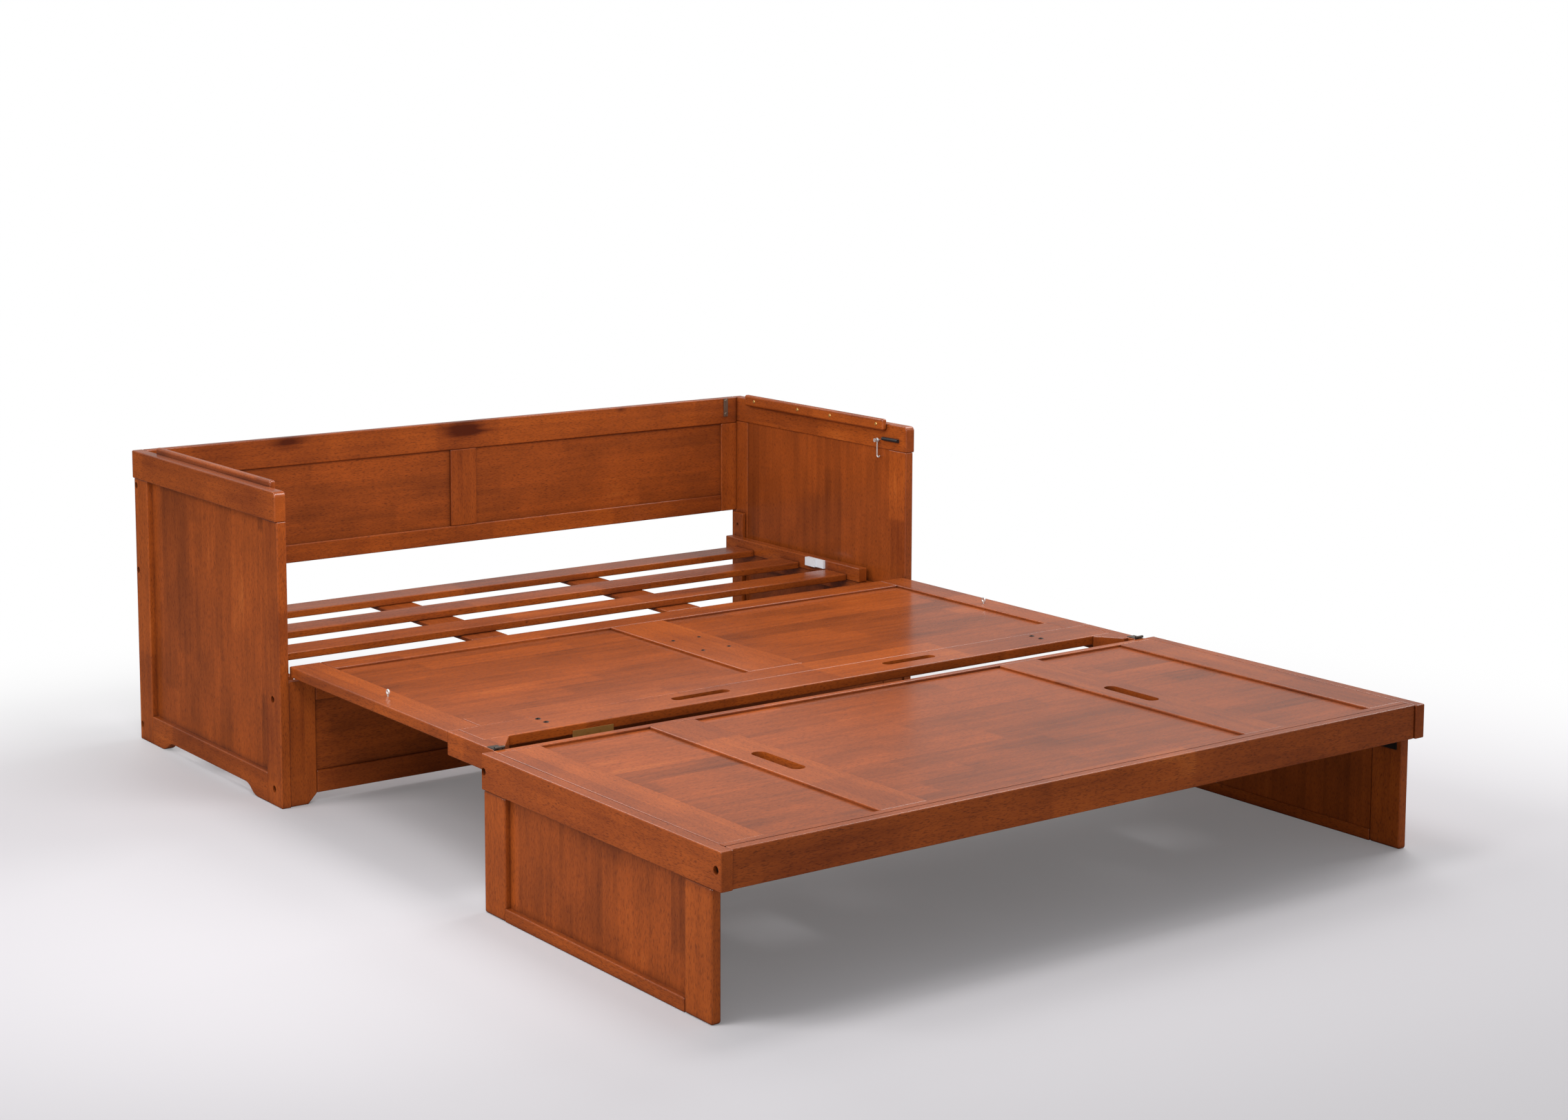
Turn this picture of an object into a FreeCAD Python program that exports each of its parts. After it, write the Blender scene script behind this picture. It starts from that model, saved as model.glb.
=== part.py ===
"""Folding cabinet bed, opened out flat for sleeping, in millimetres.

The cabinet stands at the rear (+Y) and holds a slatted deck between two framed sides. Its front
is hinged down to make the middle of the bed, and a foot section on two folding leg frames carries
the end. The origin is on the floor, at the centre of the opened bed, with +Z up and +X to the right
of someone who stands at the foot.
"""
import FreeCAD, Part
import os
import re

import Sketcher

SIZES = {
    # The whole bed, opened
    "bed_width": 1644,
    "cabinet_depth": 704,
    "open_reach": 1545,
    "side_height": 649,
    "deck_height": 291,
    # Planks
    "rail_thick": 25,
    "rail_proud": 4,
    "frame_thick": 20,
    "edge_ease": 2.5,
    "panel_thick": 9,
    "side_panel_thick": 6,
    "side_panel_inset": 2,
    # Cabinet sides
    "side_stile_width": 66,
    "top_rail_height": 61,
    "bottom_rail_height": 63,
    "foot_length": 47,
    "ramp_length": 60,
    "arch_height": 21,
    "cleat_thick": 14,
    "cleat_height": 27,
    "cleat_rise": 12,
    "cleat_inset": 72,
    "cleat_ease": 5,
    "top_rail_corner": 10,
    # Back panel
    "back_bottom": 359,
    "back_top_rail": 65,
    "back_bottom_rail": 42,
    "back_end_stile": 48,
    "centre_stile": 70,
    # Lower front
    "front_setback": 4,
    "front_top": 259,
    "front_stile_width": 60,
    "front_rail_width": 46,
    "front_foot": 21,
    "front_foot_chamfer": 20,
    "stretcher_bottom": 17,
    "stretcher_width": 40,
    # Slatted deck
    "deck_rail_inset": 12,
    "deck_rail_wide": 25,
    "deck_rail_tall": 34,
    "deck_rail_front": 130,
    "deck_rail_long": 550,
    "deck_rail_rise": 5,
    "slat_width": 76,
    "slat_thick": 16,
    "slat_pitch": 190,
    "slat_drop": 20,
    "cross_inner": 210,
    "cross_width": 90,
    "cross_thick": 9,
    "ledger_wide": 32,
    "ledger_tall": 30,
    "post_size": 20,
    "rear_post_deep": 40,
    "rear_post_gap": 4,
    "rear_post_hole_drop": 30,
    "rear_post_hole_radius": 3.5,
    "front_post_drop": 19,
    # Middle section
    "swing_gap": 3,
    "middle_thick": 22,
    "middle_lap": 5,
    "middle_rail": 65,
    "middle_side_stile": 69,
    "middle_centre_stile": 134,
    "middle_reach": 637,
    "panel_recess": 5,
    "header_deep": 92,
    "header_tall": 45,
    "header_thick": 20,
    "cheek_thick": 23,
    "cheek_length": 75,
    "gusset_wide": 54,
    "gusset_nose": 12,
    "gusset_long": 56,
    "header_slot_start": 192,
    "header_slot_long": 133,
    "header_slot_wide": 24,
    "header_slot_inset": 52,
    # Foot section
    "foot_gap": 4,
    "foot_rail_thick": 24,
    "foot_rail_tall": 66,
    "foot_rear_thick": 16,
    "apron_thick": 20,
    "apron_setback": 4,
    "platform_front_rail": 14,
    "platform_edge_stile": 89,
    "platform_slot_stile": 100,
    "platform_slot_centre": 425,
    "foot_slot_long": 140,
    "foot_slot_wide": 30,
    "foot_slot_start": 277,
    # Leg frames
    "leg_gap": 0.3,
    "leg_thick": 20,
    "leg_rear_stile": 70,
    "leg_front_stile": 76,
    "leg_front_overhang": 32,
    "leg_ease": 5,
    "leg_bottom_rail": 24,
    # Hinges
    "hinge_offset": 4,
    "foot_hinge_offset": 3,
    "leaf_thick": 2,
    "foot_leaf_thick": 1.2,
    "knuckle_gap": 0.2,
    "pin_radius": 1.8,
    "foot_pin_radius": 1.4,
    "pin_play": 0.05,
    "middle_hinge_long": 75,
    "middle_hinge_wide": 36,
    "middle_hinge_spacing": 560,
    "foot_hinge_long": 20,
    "foot_hinge_wide": 26,
    "leg_hinge_long": 50,
    "leg_hinge_wide": 30,
    "leg_hinge_inset": 44,
    # Bolts
    "bolt_head_radius": 6,
    "bolt_head_thick": 4,
    "bolt_shank_radius": 3,
    "bolt_length": 44,
    "bolt_sink": 6,
    "bolt_pocket_play": 1,
    "socket_radius": 2.6,
    "socket_deep": 3,
    "front_bolt_inset": 34,
    "rear_bolt_inset": 10,
    "low_bolt_height": 35,
    "front_bolt_drop": 38,
    "back_bolt_rise": 24,
    "back_bolt_drop": 77,
    "foot_bolt_drop": 32,
    # Latch hardware
    "hook_setback": 101,
    "hook_below_top": 41,
    "hook_wire": 1.6,
    "hook_length": 36,
    "hook_bend": 4.5,
    "hook_screw_radius": 2,
    "hook_screw_reach": 13,
    "hook_screw_grip": 14,
    "hook_screw_head": 4.5,
    "hook_screw_cap": 2,
    "bumper_radius": 4,
    "bumper_long": 58,
    "bumper_below_top": 36,
    "bumper_stop": 0.5,
    "middle_eye_inset": 41,
    "middle_eye_reach": 335,
    "middle_eye_radius": 4.5,
    "middle_eye_rise": 8,
    "middle_eye_grip": 12,
    "strike_wide": 12,
    "strike_tall": 46,
    "strike_thick": 1.5,
    "strike_below_top": 1,
    "strike_inset": 29,
    "plate_wide": 89,
    "plate_tall": 14,
    "plate_thick": 1.5,
    "plate_inset": 493,
    "plate_drop": 12,
    "clip_block_long": 38,
    "clip_block_deep": 12,
    "clip_tab_long": 28,
    "clip_tab_deep": 6,
    "clip_setback": 290,
}

# Planes that several pieces share, as formulas of the sizes above.
HALF = "bed_width / 2"
INSIDE = "(bed_width / 2 - rail_thick)"
STILE_FACE = "(bed_width / 2 - rail_proud)"
FRONT = "((open_reach - cabinet_depth) / 2)"
REAR = f"({FRONT} + cabinet_depth)"
SIDE_RAIL_BOTTOM = "(side_height - top_rail_height)"
HOOK_HEIGHT = "(side_height - hook_below_top)"
BUMPER_HEIGHT = "(side_height - bumper_below_top)"
STRIKE_TOP = "(side_height - strike_below_top)"
BACK_FACE = f"({REAR} - frame_thick)"
BACK_PANEL_TOP = "(side_height - back_top_rail)"
POST_TOP = "(back_bottom - rear_post_gap)"
FRONT_FACE = f"({FRONT} + front_setback)"
FRONT_INNER = f"({FRONT_FACE} + frame_thick)"
DECK_RAIL_TOP = "(deck_height + deck_rail_rise)"
DECK_RAIL_BOTTOM = f"({DECK_RAIL_TOP} - deck_rail_tall)"
DECK_RAIL_FACE = f"({INSIDE} - deck_rail_inset - deck_rail_wide)"
SLAT_TOP = f"({DECK_RAIL_TOP} - slat_drop)"
SLAT_BOTTOM = f"({SLAT_TOP} - slat_thick)"
DECK_FRONT = f"({FRONT} + deck_rail_front)"
DECK_MIDDLE = f"({DECK_FRONT} + deck_rail_long / 2)"
MIDDLE_HALF = f"({INSIDE} - swing_gap)"
MIDDLE_BOTTOM = "(deck_height - middle_thick)"
MIDDLE_REAR = f"({FRONT} + middle_lap)"
MIDDLE_FRONT = f"({FRONT} - middle_reach)"
HEADER_FACE = f"({MIDDLE_FRONT} - header_deep)"
CHEEK_END = f"({HEADER_FACE} - cheek_length)"
CHEEK_INNER = f"({MIDDLE_HALF} - cheek_thick)"
FOOT_REAR = f"({CHEEK_END} - foot_gap)"
FOOT_FRONT = f"({FRONT} - open_reach)"
FOOT_INSIDE = "(bed_width / 2 - foot_rail_thick)"
FOOT_RAIL_BOTTOM = "(deck_height - foot_rail_tall)"
APRON_FACE = f"({FOOT_FRONT} + apron_setback)"
APRON_BACK = f"({APRON_FACE} + apron_thick)"
PLATFORM_REAR = f"({FOOT_REAR} - foot_rear_thick)"
PLATFORM_FRONT = f"({APRON_BACK} + platform_front_rail)"
EDGE_STILE_FACE = f"({FOOT_INSIDE} - platform_edge_stile)"
SLOT_STILE_OUTER = "(platform_slot_centre + platform_slot_stile / 2)"
SLOT_STILE_INNER = "(platform_slot_centre - platform_slot_stile / 2)"
LEG_TOP = f"({FOOT_RAIL_BOTTOM} - leg_gap)"
LEG_INSIDE = f"({STILE_FACE} - leg_thick)"
LEG_FRONT = f"({FOOT_FRONT} + leg_front_overhang)"
MIDDLE_AXIS_Y = f"({FRONT_FACE} - hinge_offset)"
MIDDLE_AXIS_Z = f"({MIDDLE_BOTTOM} - hinge_offset)"
FOOT_AXIS_Y = f"({FOOT_REAR} + foot_hinge_offset)"
FOOT_AXIS_Z = "(deck_height + foot_hinge_offset)"
LEG_AXIS_X = f"({LEG_INSIDE} - hinge_offset)"
LEG_AXIS_Z = f"({LEG_TOP} + leg_gap / 2)"
LOW_BOLT, FRONT_BOLT = "low_bolt_height", "(front_top - front_bolt_drop)"
BACK_LOW_BOLT, BACK_HIGH_BOLT = "(back_bottom + back_bolt_rise)", "(side_height - back_bolt_drop)"
FOOT_BOLT = "(deck_height - foot_bolt_drop)"
SIDES = (("left", -1), ("right", 1))
X, Y, Z = FreeCAD.Vector(1, 0, 0), FreeCAD.Vector(0, 1, 0), FreeCAD.Vector(0, 0, 1)

doc = FreeCAD.newDocument("CabinetBed")
sheet = doc.addObject("Spreadsheet::Sheet", "Sizes")
for row, (alias, value) in enumerate(SIZES.items(), start=1):
    sheet.set(f"A{row}", alias)
    sheet.set(f"B{row}", str(value))
    sheet.setAlias(f"B{row}", alias)
doc.recompute()
nodes = []


def formula(text):
    """The text with each size's name turned into its cell of the sheet."""
    def cell(word):
        return f"Sizes.{word[0]}" if word[0] in SIZES else word[0]
    return re.sub(r"[a-z_]+", cell, str(text))


def bind(thing, prop, text):
    """Tie a property of a feature to the sheet."""
    thing.setExpression(prop, formula(text))


def place(thing, x, y, z, rotation=None):
    """Put a feature or body at a point given by formulas, turned if a rotation is given."""
    if rotation is not None:
        thing.Placement = FreeCAD.Placement(FreeCAD.Vector(), rotation)
    for axis, text in zip("xyz", (x, y, z)):
        bind(thing, f"Placement.Base.{axis}", text)


def keep(thing, label):
    """Name a finished sub-part, which is written to its own file."""
    thing.Label = label
    nodes.append(thing)
    return thing


def group(label, members):
    """Several like pieces, each its own solid, under one name."""
    compound = doc.addObject("Part::Compound", label)
    compound.Links = members
    return keep(compound, label)


def outboard(side, near, far):
    """The span between two distances from the centre line, on one side of the bed."""
    return (near, far) if side > 0 else (f"-({far})", f"-({near})")


def feature(body, kind, name, **sizes):
    """Add a feature to a body, bind its sizes and make it the body's result."""
    item = body.newObject(f"PartDesign::{kind}", f"{body.Name}_{name}")
    for prop, text in sizes.items():
        bind(item, prop, text)
    body.Tip = item
    return item


def sketch_on_floor(body):
    """A sketch on the body's own XY plane."""
    sketch = body.newObject("Sketcher::SketchObject", f"{body.Name}_outline")
    floor = next(f for f in body.Origin.OriginFeatures if f.Role == "XY_Plane")
    sketch.AttachmentSupport = [(floor, "")]
    sketch.MapMode = "FlatFace"
    return sketch


def corner_at(sketch, edge, point, name, x, y):
    """Hold one end of a sketch edge at a point given by formulas."""
    for direction, text in (("X", x), ("Y", y)):
        start = getattr(sketch.getPoint(edge, point), direction.lower())
        held = Sketcher.Constraint(f"Distance{direction}", -1, 1, edge, point, start)
        index = sketch.addConstraint(held)
        sketch.renameConstraint(index, f"{name}_{direction.lower()}")
        bind(sketch, f"Constraints.{name}_{direction.lower()}", text)


def polygon(sketch, points):
    """A closed outline of straight edges whose corners follow their formulas."""
    count = len(points)
    around = [FreeCAD.Rotation(Z, 360 * i / count).multVec(X) for i in range(count)]
    ring = [(X + Y) * 2 + point for point in around]
    for i in range(count):
        sketch.addGeometry(Part.LineSegment(ring[i], ring[(i + 1) % count]))
    for i in range(count):
        sketch.addConstraint(Sketcher.Constraint("Coincident", i, 2, (i + 1) % count, 1))
    for i, (x, y) in enumerate(points):
        corner_at(sketch, i, 1, f"corner{i}", x, y)


def padded(label, points, thickness, ease="edge_ease"):
    """A plate cut to an outline, as thick as the formula says, with its edges eased."""
    body = doc.addObject("PartDesign::Body", label)
    sketch = sketch_on_floor(body)
    polygon(sketch, points)
    pad = feature(body, "Pad", "pad", Length=thickness)
    pad.Profile = sketch
    if ease:
        ease_all(body, pad, ease)
    return body


def ease_all(body, base, radius):
    """Round every edge of a body over."""
    fillet = feature(body, "Fillet", "ease", Radius=radius)
    fillet.Base = (base, [""])
    fillet.UseAllEdges = True
    return fillet


def board(label, x, y, z, ease="edge_ease"):
    """A planed board between six planes, each given by a formula."""
    wide = f"({x[1]}) - ({x[0]})"
    deep = f"({y[1]}) - ({y[0]})"
    corners = [("0", "0"), (wide, "0"), (wide, deep), ("0", deep)]
    body = padded(label, corners, f"({z[1]}) - ({z[0]})", ease)
    place(body, x[0], y[0], z[0])
    return body


def drill(body, name, x, y, z, rotation, radius, length):
    """A round hole into a body, from a point in the body's own frame along the turned Z."""
    hole = feature(body, "SubtractiveCylinder", name, Radius=radius, Height=length)
    place(hole, x, y, z, rotation)


def long_slot(body, name, x, y, length, width, depth, rotation=None):
    """A hand slot with round ends, cut through a body from its floor plane."""
    straight = f"({length}) - ({width})"
    middle = feature(body, "SubtractiveBox", name, Length=straight, Width=width, Height=depth)
    if rotation is None:
        place(middle, f"({x}) - ({straight}) / 2", f"({y}) - ({width}) / 2", "0")
    else:
        place(middle, f"({x}) + ({width}) / 2", f"({y}) - ({straight}) / 2", "0", rotation)
    for end in (-1, 1):
        round_end = feature(body, "SubtractiveCylinder", f"{name}_end",
                            Radius=f"({width}) / 2", Height=depth)
        shift = f"{end} * ({straight}) / 2"
        if rotation is None:
            place(round_end, f"({x}) + {shift}", y, "0")
        else:
            place(round_end, x, f"({y}) + {shift}", "0")


TO_RIGHT = FreeCAD.Rotation(Y, 90)
TO_LEFT = FreeCAD.Rotation(Y, -90)
TO_BACK = FreeCAD.Rotation(X, -90)
QUARTER = FreeCAD.Rotation(Z, 90)
STAND_SIDEWAYS = FreeCAD.Rotation(Y, Z, X, "XYZ")
STAND_FACING = FreeCAD.Rotation(X, 90)


# ---------------------------------------------------------------- cabinet sides
def inward(side):
    """The turn that points a hole from a side's outer face towards the centre line."""
    return TO_LEFT if side > 0 else TO_RIGHT


def bolt_hole(body, name, side, y, z, outer_x):
    """A counterbored hole from a stile's or rail's outer face inwards, for one bolt."""
    turn = inward(side)
    drill(body, f"{name}_pocket", outer_x, y, z, turn,
          "bolt_head_radius + bolt_pocket_play", "bolt_head_thick + bolt_sink")
    drill(body, f"{name}_way", outer_x, y, z, turn, "bolt_shank_radius", "bolt_length")


def bolt_end(body, name, side, y, z, outer_x):
    """The blind hole that a bolt's thread runs into, from the face it meets."""
    drill(body, name, outer_x, y, z, inward(side), "bolt_shank_radius", "bolt_length")


def bolt(name, side, face, y, z):
    """A socket-head bolt, sunk below the face that it goes in from."""
    body = doc.addObject("PartDesign::Body", name)
    feature(body, "AdditiveCylinder", "head", Radius="bolt_head_radius", Height="bolt_head_thick")
    feature(body, "AdditiveCylinder", "shank", Radius="bolt_shank_radius", Height="bolt_length")
    socket = feature(body, "SubtractivePrism", "socket", Circumradius="socket_radius", Height="socket_deep")
    socket.Polygon = 6
    x = f"{side} * ({face} - bolt_sink)"
    place(body, x, y, z, inward(side))
    return body


def side_stile(name, side, which):
    """An upright of a cabinet side, with the holes for the bolts that hold the front or back."""
    front = which == "front"
    y = (FRONT, f"{FRONT} + side_stile_width") if front else (f"{REAR} - side_stile_width", REAR)
    body = board(f"{name}_{which}_stile", outboard(side, INSIDE, STILE_FACE), y,
                 ("0", SIDE_RAIL_BOTTOM))
    across = "front_bolt_inset" if front else "side_stile_width - rear_bolt_inset"
    heights = (LOW_BOLT, FRONT_BOLT) if front else (LOW_BOLT, BACK_LOW_BOLT, BACK_HIGH_BOLT)
    outer = "0" if side < 0 else "rail_thick - rail_proud"
    for i, height in enumerate(heights):
        bolt_hole(body, f"bolt{i}", side, across, height, outer)
    return body


def join(sketch, first, second, kind):
    """Tie the ends at which two edges of an outline meet."""
    ends = [(i, j) for i in (1, 2) for j in (1, 2)
            if sketch.getPoint(first, i).distanceToPoint(sketch.getPoint(second, j)) < 0.001]
    sketch.addConstraint(Sketcher.Constraint(kind, first, ends[0][0], second, ends[0][1]))


def measure(sketch, kind, name, text, *ends):
    """A length in an outline, bound to the sheet."""
    (first, i), (second, j) = ends
    gap = sketch.getPoint(second, j)
    if first >= 0:
        gap = gap - sketch.getPoint(first, i)
    start = gap.x if kind[-1] == "X" else gap.y
    index = sketch.addConstraint(Sketcher.Constraint(kind, first, i, second, j, start))
    sketch.renameConstraint(index, name)
    bind(sketch, f"Constraints.{name}", text)


def bracket_rail(name, side):
    """A side's bottom rail: its underside rises from two feet to an arch, by an S of two equal arcs."""
    body = doc.addObject("PartDesign::Body", f"{name}_bottom_rail")
    sketch = sketch_on_floor(body)
    foot, ramp, arch = SIZES["foot_length"], SIZES["ramp_length"], SIZES["arch_height"]
    top = SIZES["bottom_rail_height"]
    long = SIZES["cabinet_depth"] - 2 * SIZES["side_stile_width"]
    radius = (ramp ** 2 + arch ** 2) / (4 * arch)
    dip = radius - (radius ** 2 - (ramp / 4) ** 2) ** 0.5

    def s_curve(low_x, high_x):
        """The lower and the upper arc of one ramp, from the floor up to the arch."""
        quarter = (high_x - low_x) / 4
        low, high = FreeCAD.Vector(low_x, 0), FreeCAD.Vector(high_x, arch)
        lower = Part.Arc(low, FreeCAD.Vector(low_x + quarter, dip), (low + high) / 2)
        upper = Part.Arc((low + high) / 2, FreeCAD.Vector(high_x - quarter, arch - dip), high)
        return lower, upper

    def line(x1, y1, x2, y2):
        return Part.LineSegment(FreeCAD.Vector(x1, y1), FreeCAD.Vector(x2, y2))

    front_low, front_high = s_curve(foot, foot + ramp)
    rear_low, rear_high = s_curve(long - foot, long - foot - ramp)
    edges = [line(0, 0, foot, 0), front_low, front_high, line(foot + ramp, arch, long - foot - ramp, arch),
             rear_high, rear_low, line(long - foot, 0, long, 0), line(long, 0, long, top),
             line(long, top, 0, top), line(0, top, 0, 0)]
    for edge in edges:
        sketch.addGeometry(edge)
    for i in range(len(edges)):
        smooth = i < 6
        join(sketch, i, (i + 1) % len(edges), "Tangent" if smooth else "Coincident")
    sketch.addConstraint(Sketcher.Constraint("Coincident", 0, 1, -1, 1))
    for i in (0, 3, 6, 8):
        sketch.addConstraint(Sketcher.Constraint("Horizontal", i))
    for i in (7, 9):
        sketch.addConstraint(Sketcher.Constraint("Vertical", i))
    sketch.addConstraint(Sketcher.Constraint("PointOnObject", 6, 2, -1))
    sketch.addConstraint(Sketcher.Constraint("Equal", 1, 2))
    sketch.addConstraint(Sketcher.Constraint("Equal", 4, 5))
    measure(sketch, "DistanceX", "front_foot", "foot_length", (0, 1), (0, 2))
    measure(sketch, "DistanceX", "rear_foot", "foot_length", (6, 1), (6, 2))
    measure(sketch, "DistanceX", "front_ramp", "ramp_length", (0, 2), (3, 1))
    measure(sketch, "DistanceX", "rear_ramp", "ramp_length", (3, 2), (6, 1))
    measure(sketch, "DistanceX", "length", "cabinet_depth - 2 * side_stile_width", (-1, 1), (6, 2))
    measure(sketch, "DistanceY", "height", "bottom_rail_height", (7, 1), (7, 2))
    measure(sketch, "DistanceY", "arch", "arch_height", (-1, 1), (3, 1))
    pad = feature(body, "Pad", "pad", Length="rail_thick - rail_proud")
    pad.Profile = sketch
    ease_all(body, pad, "edge_ease")
    place(body, outboard(side, INSIDE, STILE_FACE)[0], f"{FRONT} + side_stile_width", "0", STAND_SIDEWAYS)
    return body


def top_rail(name, side):
    """The rail along the top of a side, with a rounded front corner and the hole for its hook's screw."""
    body = board(f"{name}_top_rail", outboard(side, INSIDE, HALF), (FRONT, REAR),
                 (SIDE_RAIL_BOTTOM, "side_height"), None)
    pad = body.Tip
    doc.recompute()
    edges = pad.Shape.Edges
    front = min(edge.CenterOfMass.y for edge in edges)
    corner = max((i for i, edge in enumerate(edges) if edge.CenterOfMass.y < front + 1),
                 key=lambda i: edges[i].CenterOfMass.z)
    rounded = feature(body, "Fillet", "corner", Radius="top_rail_corner")
    rounded.Base = (pad, [f"Edge{corner + 1}"])
    ease_all(body, rounded, "edge_ease")
    drill(body, "hook_screw_way", "0" if side > 0 else "rail_thick", "hook_setback",
          f"{HOOK_HEIGHT} - {SIDE_RAIL_BOTTOM}", TO_RIGHT if side > 0 else TO_LEFT,
          "hook_screw_radius", "hook_screw_grip")
    return keep(body, f"{name}_top_rail")


for name, side in SIDES:
    top_rail(name, side)
    group(f"{name}_side_stiles", [side_stile(name, side, which) for which in ("front", "rear")])

group("side_bottom_rails", [bracket_rail(name, side) for name, side in SIDES])
group("side_panels", [
    board(f"{name}_side_panel",
          outboard(side, f"{INSIDE} + side_panel_inset", f"{INSIDE} + side_panel_inset + side_panel_thick"),
          (f"{FRONT} + side_stile_width", f"{REAR} - side_stile_width"),
          ("bottom_rail_height", SIDE_RAIL_BOTTOM), None)
    for name, side in SIDES])
group("top_cleats", [
    board(f"{name}_top_cleat", outboard(side, f"{INSIDE} - cleat_thick", INSIDE),
          (f"{FRONT} + cleat_inset", f"{REAR} - cleat_inset"),
          ("side_height + cleat_rise - cleat_height", "side_height + cleat_rise"), "cleat_ease")
    for name, side in SIDES])

# ---------------------------------------------------------------- back
BACK_Y = (BACK_FACE, REAR)
BACK_RAIL_TOP = "(back_bottom + back_bottom_rail)"
keep(board("back_top_rail", (f"-{INSIDE}", INSIDE), BACK_Y, (BACK_PANEL_TOP, "side_height")),
     "back_top_rail")
BACK_OPENING = f"({INSIDE} - back_end_stile)"
BACK_CORE = f"(({BACK_FACE} + {REAR}) / 2)"
keep(board("back_bottom_rail", (f"-{BACK_OPENING}", BACK_OPENING), BACK_Y, ("back_bottom", BACK_RAIL_TOP)),
     "back_bottom_rail")
back_stiles = [board("back_centre_stile", ("-centre_stile / 2", "centre_stile / 2"), BACK_Y,
                     (BACK_RAIL_TOP, BACK_PANEL_TOP))]
for name, side in SIDES:
    stile = board(f"back_{name}_stile", outboard(side, BACK_OPENING, INSIDE), BACK_Y,
                  ("back_bottom", BACK_PANEL_TOP))
    outer = "back_end_stile" if side > 0 else "0"
    for i, height in enumerate((BACK_LOW_BOLT, BACK_HIGH_BOLT)):
        bolt_end(stile, f"bolt{i}", side, "frame_thick - rear_bolt_inset", f"{height} - back_bottom", outer)
    back_stiles.append(stile)
group("back_stiles", back_stiles)
group("back_panels", [
    board(f"back_{name}_panel", outboard(side, "centre_stile / 2", BACK_OPENING),
          (f"{BACK_CORE} - panel_thick / 2", f"{BACK_CORE} + panel_thick / 2"),
          (BACK_RAIL_TOP, BACK_PANEL_TOP), None)
    for name, side in SIDES])

# ---------------------------------------------------------------- lower front
FRONT_Y = (FRONT_FACE, FRONT_INNER)
FRONT_OPENING = f"({INSIDE} - front_stile_width)"
FRONT_RAIL_TOP = "(front_foot + front_rail_width)"


def front_stile(name, side):
    """An upright of the lower front, cut off at a slant where its foot meets the rail."""
    wide, tall, cut = "front_stile_width", "front_top", "front_foot_chamfer"
    points = [("0", "0"), (f"{wide} - {cut}", "0"), (wide, "front_foot"), (wide, tall), ("0", tall)]
    if side > 0:
        points = [(f"{wide} - ({x})", y) for x, y in points]
    body = padded(f"front_{name}_stile", points, "frame_thick")
    place(body, outboard(side, FRONT_OPENING, INSIDE)[0], FRONT_INNER, "0", STAND_FACING)
    return body


group("front_stiles", [front_stile(name, side) for name, side in SIDES])
front_x = (f"-{FRONT_OPENING}", FRONT_OPENING)
keep(board("front_top_rail", front_x, FRONT_Y, ("front_top - front_rail_width", "front_top")),
     "front_top_rail")
keep(board("front_bottom_rail", front_x, FRONT_Y, ("front_foot", FRONT_RAIL_TOP)), "front_bottom_rail")
FRONT_CORE = f"(({FRONT_FACE} + {FRONT_INNER}) / 2)"
front_panel_y = (f"{FRONT_CORE} - panel_thick / 2", f"{FRONT_CORE} + panel_thick / 2")
keep(board("front_panel", front_x, front_panel_y, (FRONT_RAIL_TOP, "front_top - front_rail_width"), None),
     "front_panel")
stretcher = board("rear_stretcher", (f"-{INSIDE}", INSIDE), BACK_Y,
                  ("stretcher_bottom", "stretcher_bottom + stretcher_width"))
for name, side in SIDES:
    bolt_end(stretcher, f"{name}_bolt", side, "frame_thick - rear_bolt_inset",
             f"{LOW_BOLT} - stretcher_bottom", f"2 * {INSIDE}" if side > 0 else "0")
keep(stretcher, "rear_stretcher")

# ---------------------------------------------------------------- slatted deck
DECK_Y = (DECK_FRONT, f"{DECK_FRONT} + deck_rail_long")


def front_post(name, side):
    """A square post behind the lower front's stile, which the front's bolts run into."""
    body = board(f"{name}_front_post", outboard(side, f"{INSIDE} - post_size", INSIDE),
                 (FRONT_INNER, f"{FRONT_INNER} + post_size"), ("0", "front_top - front_post_drop"))
    for i, height in enumerate((LOW_BOLT, FRONT_BOLT)):
        bolt_end(body, f"bolt{i}", side, "front_bolt_inset - front_setback - frame_thick", height,
                 "post_size" if side > 0 else "0")
    return body


def rear_post(name, side):
    """A flat post between the rear stile and the deck's end rail, with a spare screw hole near its top."""
    body = board(f"{name}_rear_post", outboard(side, f"{INSIDE} - deck_rail_inset", INSIDE),
                 (f"{BACK_FACE} - rear_post_deep", BACK_FACE), ("0", POST_TOP))
    drill(body, "screw_hole", "0", "rear_post_deep / 2", f"{POST_TOP} - rear_post_hole_drop", TO_RIGHT,
          "rear_post_hole_radius", "deck_rail_inset")
    return body


group("corner_posts", [post(name, side) for name, side in SIDES for post in (front_post, rear_post)])
group("deck_ledgers", [
    board(f"{name}_ledger", outboard(side, f"{INSIDE} - ledger_wide", INSIDE),
          (f"{FRONT_INNER} + post_size", f"{BACK_FACE} - rear_post_deep"),
          (f"{DECK_RAIL_BOTTOM} - ledger_tall", DECK_RAIL_BOTTOM))
    for name, side in SIDES])
group("deck_end_rails", [
    board(f"{name}_deck_rail", outboard(side, DECK_RAIL_FACE, f"{DECK_RAIL_FACE} + deck_rail_wide"), DECK_Y,
          (DECK_RAIL_BOTTOM, DECK_RAIL_TOP))
    for name, side in SIDES])
group("deck_slats", [
    board(f"slat{i}", (f"-{DECK_RAIL_FACE}", DECK_RAIL_FACE),
          (f"{DECK_MIDDLE} + {step} * slat_pitch - slat_width / 2",
           f"{DECK_MIDDLE} + {step} * slat_pitch + slat_width / 2"), (SLAT_BOTTOM, SLAT_TOP))
    for i, step in enumerate((-1, 0, 1))])
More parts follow.
